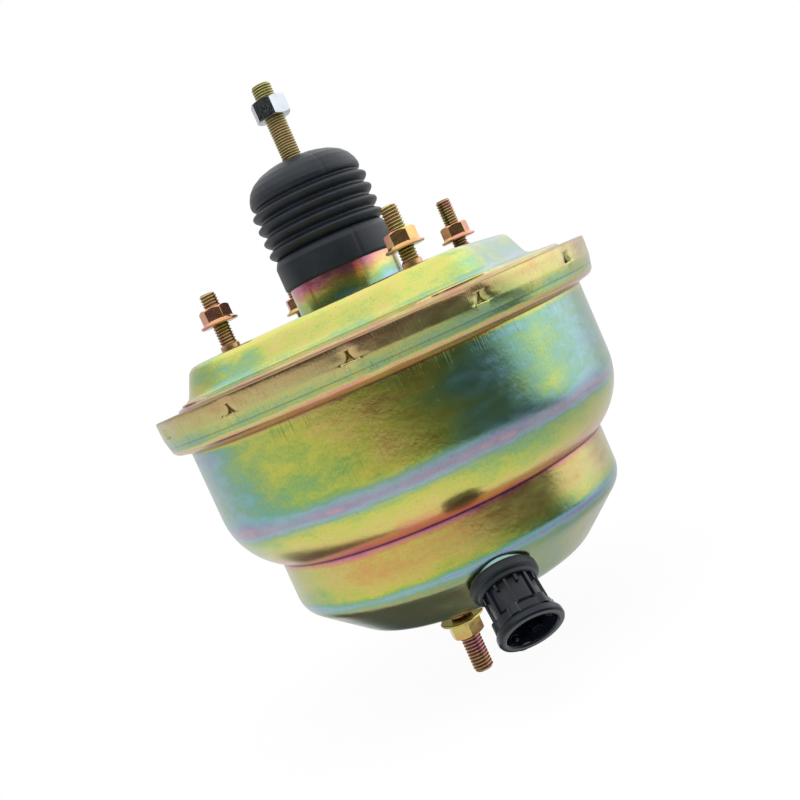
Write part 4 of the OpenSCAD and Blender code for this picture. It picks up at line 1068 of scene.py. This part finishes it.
def make_boot():
    """The cuff sits on the neck, the folds and dome above it, and the lip goes with the rod."""
    bm = bmesh.new()
    lathe(bm, (27.3, 14.9), [
        (28.2, 14.9), (29.1, 15.8), (29.1, 26.9), (28.2, 28.8), (27.2, CUFF_TOP), (25.6, CUFF_TOP),
        (25.6, 28.5), (27.3, 28.4), (27.3, 14.9)], 192, 0.45, PARTING)
    mark_parting(bm)
    piece(bm, "boot_cuff", "boot_rubber", "housing", ["boot"], sharp=60)
    bm = bmesh.new()
    outer = []
    for i in range(FOLDS):
        z = CUFF_TOP + FOLD_PITCH * i
        outer += [(26.9, z + 0.25), (28.3, z + 1.3), (29.3, z + 2.3), (29.7, z + 3.3), (29.4, z + 4.2),
                  (28.2, z + 5.0), (26.9, z + 5.7)]
    outer += [(26.6, 55.9), (27.6, 56.5), (28.2, 57.4), (28.3, 59.0), (27.6, 61.6), (26.0, 64.6),
              (23.4, 67.3), (19.4, 69.6), (14.6, 71.2), (9.0, 72.0), (6.6, 72.0)]
    inner = [(5.6, 71.4), (5.6, 69.2), (13.5, 68.6), (18.4, 67.0), (22.0, 64.8), (24.4, 61.6), (25.8, 58.0)]
    for i in reversed(range(FOLDS)):
        z = CUFF_TOP + FOLD_PITCH * i
        inner += [(24.9, z + 5.9), (27.5, z + 3.3), (24.9, z + 0.6)]
    lathe(bm, (25.0, CUFF_TOP + 0.05), outer + inner + [(25.0, CUFF_TOP + 0.05)], 192, 0.3, PARTING)
    mark_parting(bm)
    radius, out, angle, height = NUB
    nub = bmesh.ops.create_uvsphere(bm, u_segments=16, v_segments=10, radius=radius)
    bmesh.ops.translate(bm, verts=nub["verts"], vec=(out * math.cos(angle), out * math.sin(angle), height))
    folds = piece(bm, "boot_folds", "boot_rubber", "housing", sharp=60)
    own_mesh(folds)
    bm = bmesh.new()
    lathe(bm, (5.05, 70.2), [(9.4, 70.2), (9.4, 71.9), (7.4, 72.7), (5.05, 72.7), (5.05, 70.2)], 96, 0.4)
    piece(bm, "boot_rod_lip", "boot_rubber", "pedal_rod", sharp=60)


# Vacuum port: grommet and the hollow plug in it, drawn along the port's own Z

BARS = 16
LONG_BAR = 12.6
SHORT_BAR = 3.0
LOBES = 6


def make_port():
    """The grommet, and the plug with its bars, lobes, lug and the bump in its mouth."""
    bm = bmesh.new()
    lathe(bm, (8.0, -3.8), [
        (12.2, -3.8), (13.2, -1.8), (13.2, -0.85), (10.95, -0.85), (10.95, 0.3), (15.3, 0.3), (15.7, 1.2),
        (15.7, 3.9), (15.3, 4.7), (14.2, 5.1), (13.8, 5.2), (13.5, 6.6), (12.7, 6.9), (12.1, 6.9),
        (12.1, 5.6), (8.0, 5.6), (8.0, -3.8)], 120, 0.2)
    move_to_port(bm)
    piece(bm, "port_grommet", "black_rubber", "housing", ["valve_grommet"])
    bm = bmesh.new()
    lathe(bm, (5.5, -5.8), [
        (7.9, -5.8), (7.9, 5.85), (11.6, 5.85), (11.6, 18.2), (12.4, 18.9), (13.3, 20.2), (13.3, 23.4),
        (14.9, 24.3), (15.3, 25.2), (15.3, 27.2), (14.7, 28.15), (12.1, 28.15), (11.6, 27.4), (11.2, 8.85),
        (5.5, 8.85), (5.5, -5.8)], 144, 0.22)
    for i in range(BARS):
        long = SHORT_BAR if i % 2 else LONG_BAR
        bar = bmesh.ops.create_cube(bm, size=1)["verts"]
        bmesh.ops.scale(bm, verts=bar, vec=(1.2, 1.4, long))
        set_round(bm, bar, 12.1, 7.15 + long / 2, 360 / BARS * i + 8)
    for i in range(LOBES):
        lobe = bmesh.ops.create_cone(bm, cap_ends=True, segments=32, radius1=2.8, radius2=3.1,
                                     depth=4.8)["verts"]
        set_round(bm, lobe, 11.6, 21.2, 360 / LOBES * i + 20)
    lug = bmesh.ops.create_cone(bm, cap_ends=True, segments=32, radius1=3.4, radius2=3.4,
                                depth=2.6)["verts"]
    set_round(bm, lug, 13.2, 26.2, -18)
    bump = bmesh.ops.create_uvsphere(bm, u_segments=20, v_segments=12, radius=1.3)["verts"]
    set_round(bm, bump, 10.4, 24.6, -39)
    move_to_port(bm)
    plug = piece(bm, "port_plug_moulding", "black_plastic", "housing", ["port_plug"])
    edge_break(plug, 0.12, 50)


# Return spring, between the front plate and the piston

def make_return_spring():
    wire = 2.1
    coil = 30.0
    low = -145.5
    high = -67.8
    turns = 6.5
    bm = bmesh.new()
    ring = bmesh.ops.create_circle(bm, segments=14, radius=wire)["verts"]
    bmesh.ops.rotate(bm, verts=ring, cent=(0, 0, 0), matrix=Matrix.Rotation(math.pi / 2, 3, "X"))
    bmesh.ops.translate(bm, verts=ring, vec=(coil, 0, low + wire))
    rise = (high - low - 2 * wire) / turns
    wind(bm, ring, turns, 48, rise)
    bmesh.ops.holes_fill(bm, edges=[e for e in bm.edges if e.is_boundary], sides=0)
    for v in bm.verts:
        v.co.z = min(max(v.co.z, low), high)
    made = piece(bm, "return_spring_coil", "spring_steel", "housing", ["return_spring"])
    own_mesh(made)


make_front_shell()
make_rear_shell()
make_studs()
make_pedal_rod()
make_boot()
make_port()
make_return_spring()

# The inner CAD pieces keep their shape and get the finish of their slot
CARRIED = {
    "pressed_steel": ["front_reinforcement_plate", "rear_reinforcement_plate", "centre_divider",
                      "front_diaphragm_plate", "rear_diaphragm_plate", "front_diaphragm_nut",
                      "rear_diaphragm_clip", "output_seal_cup", "stop_key", "poppet_retainer",
                      "rod_spring_washer", "neck_seal_washer"],
    "bright_steel": ["output_rod", "output_rod_screw", "output_rod_clip", "valve_plunger"],
    "spring_steel": ["poppet_spring", "rod_return_spring"],
    "black_rubber": ["divider_seal", "front_diaphragm", "rear_diaphragm", "reaction_disc",
                     "output_rod_seal", "poppet_valve", "neck_seal"],
    "piston_plastic": ["power_piston", "filter_cap", "neck_guide"],
    "filter_felt": ["air_filter"],
}
for finish, names in CARRIED.items():
    for name in names:
        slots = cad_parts[name].data.materials
        slots.clear()
        slots.append(finishes[finish])

scene.view_settings.view_transform = "Standard"
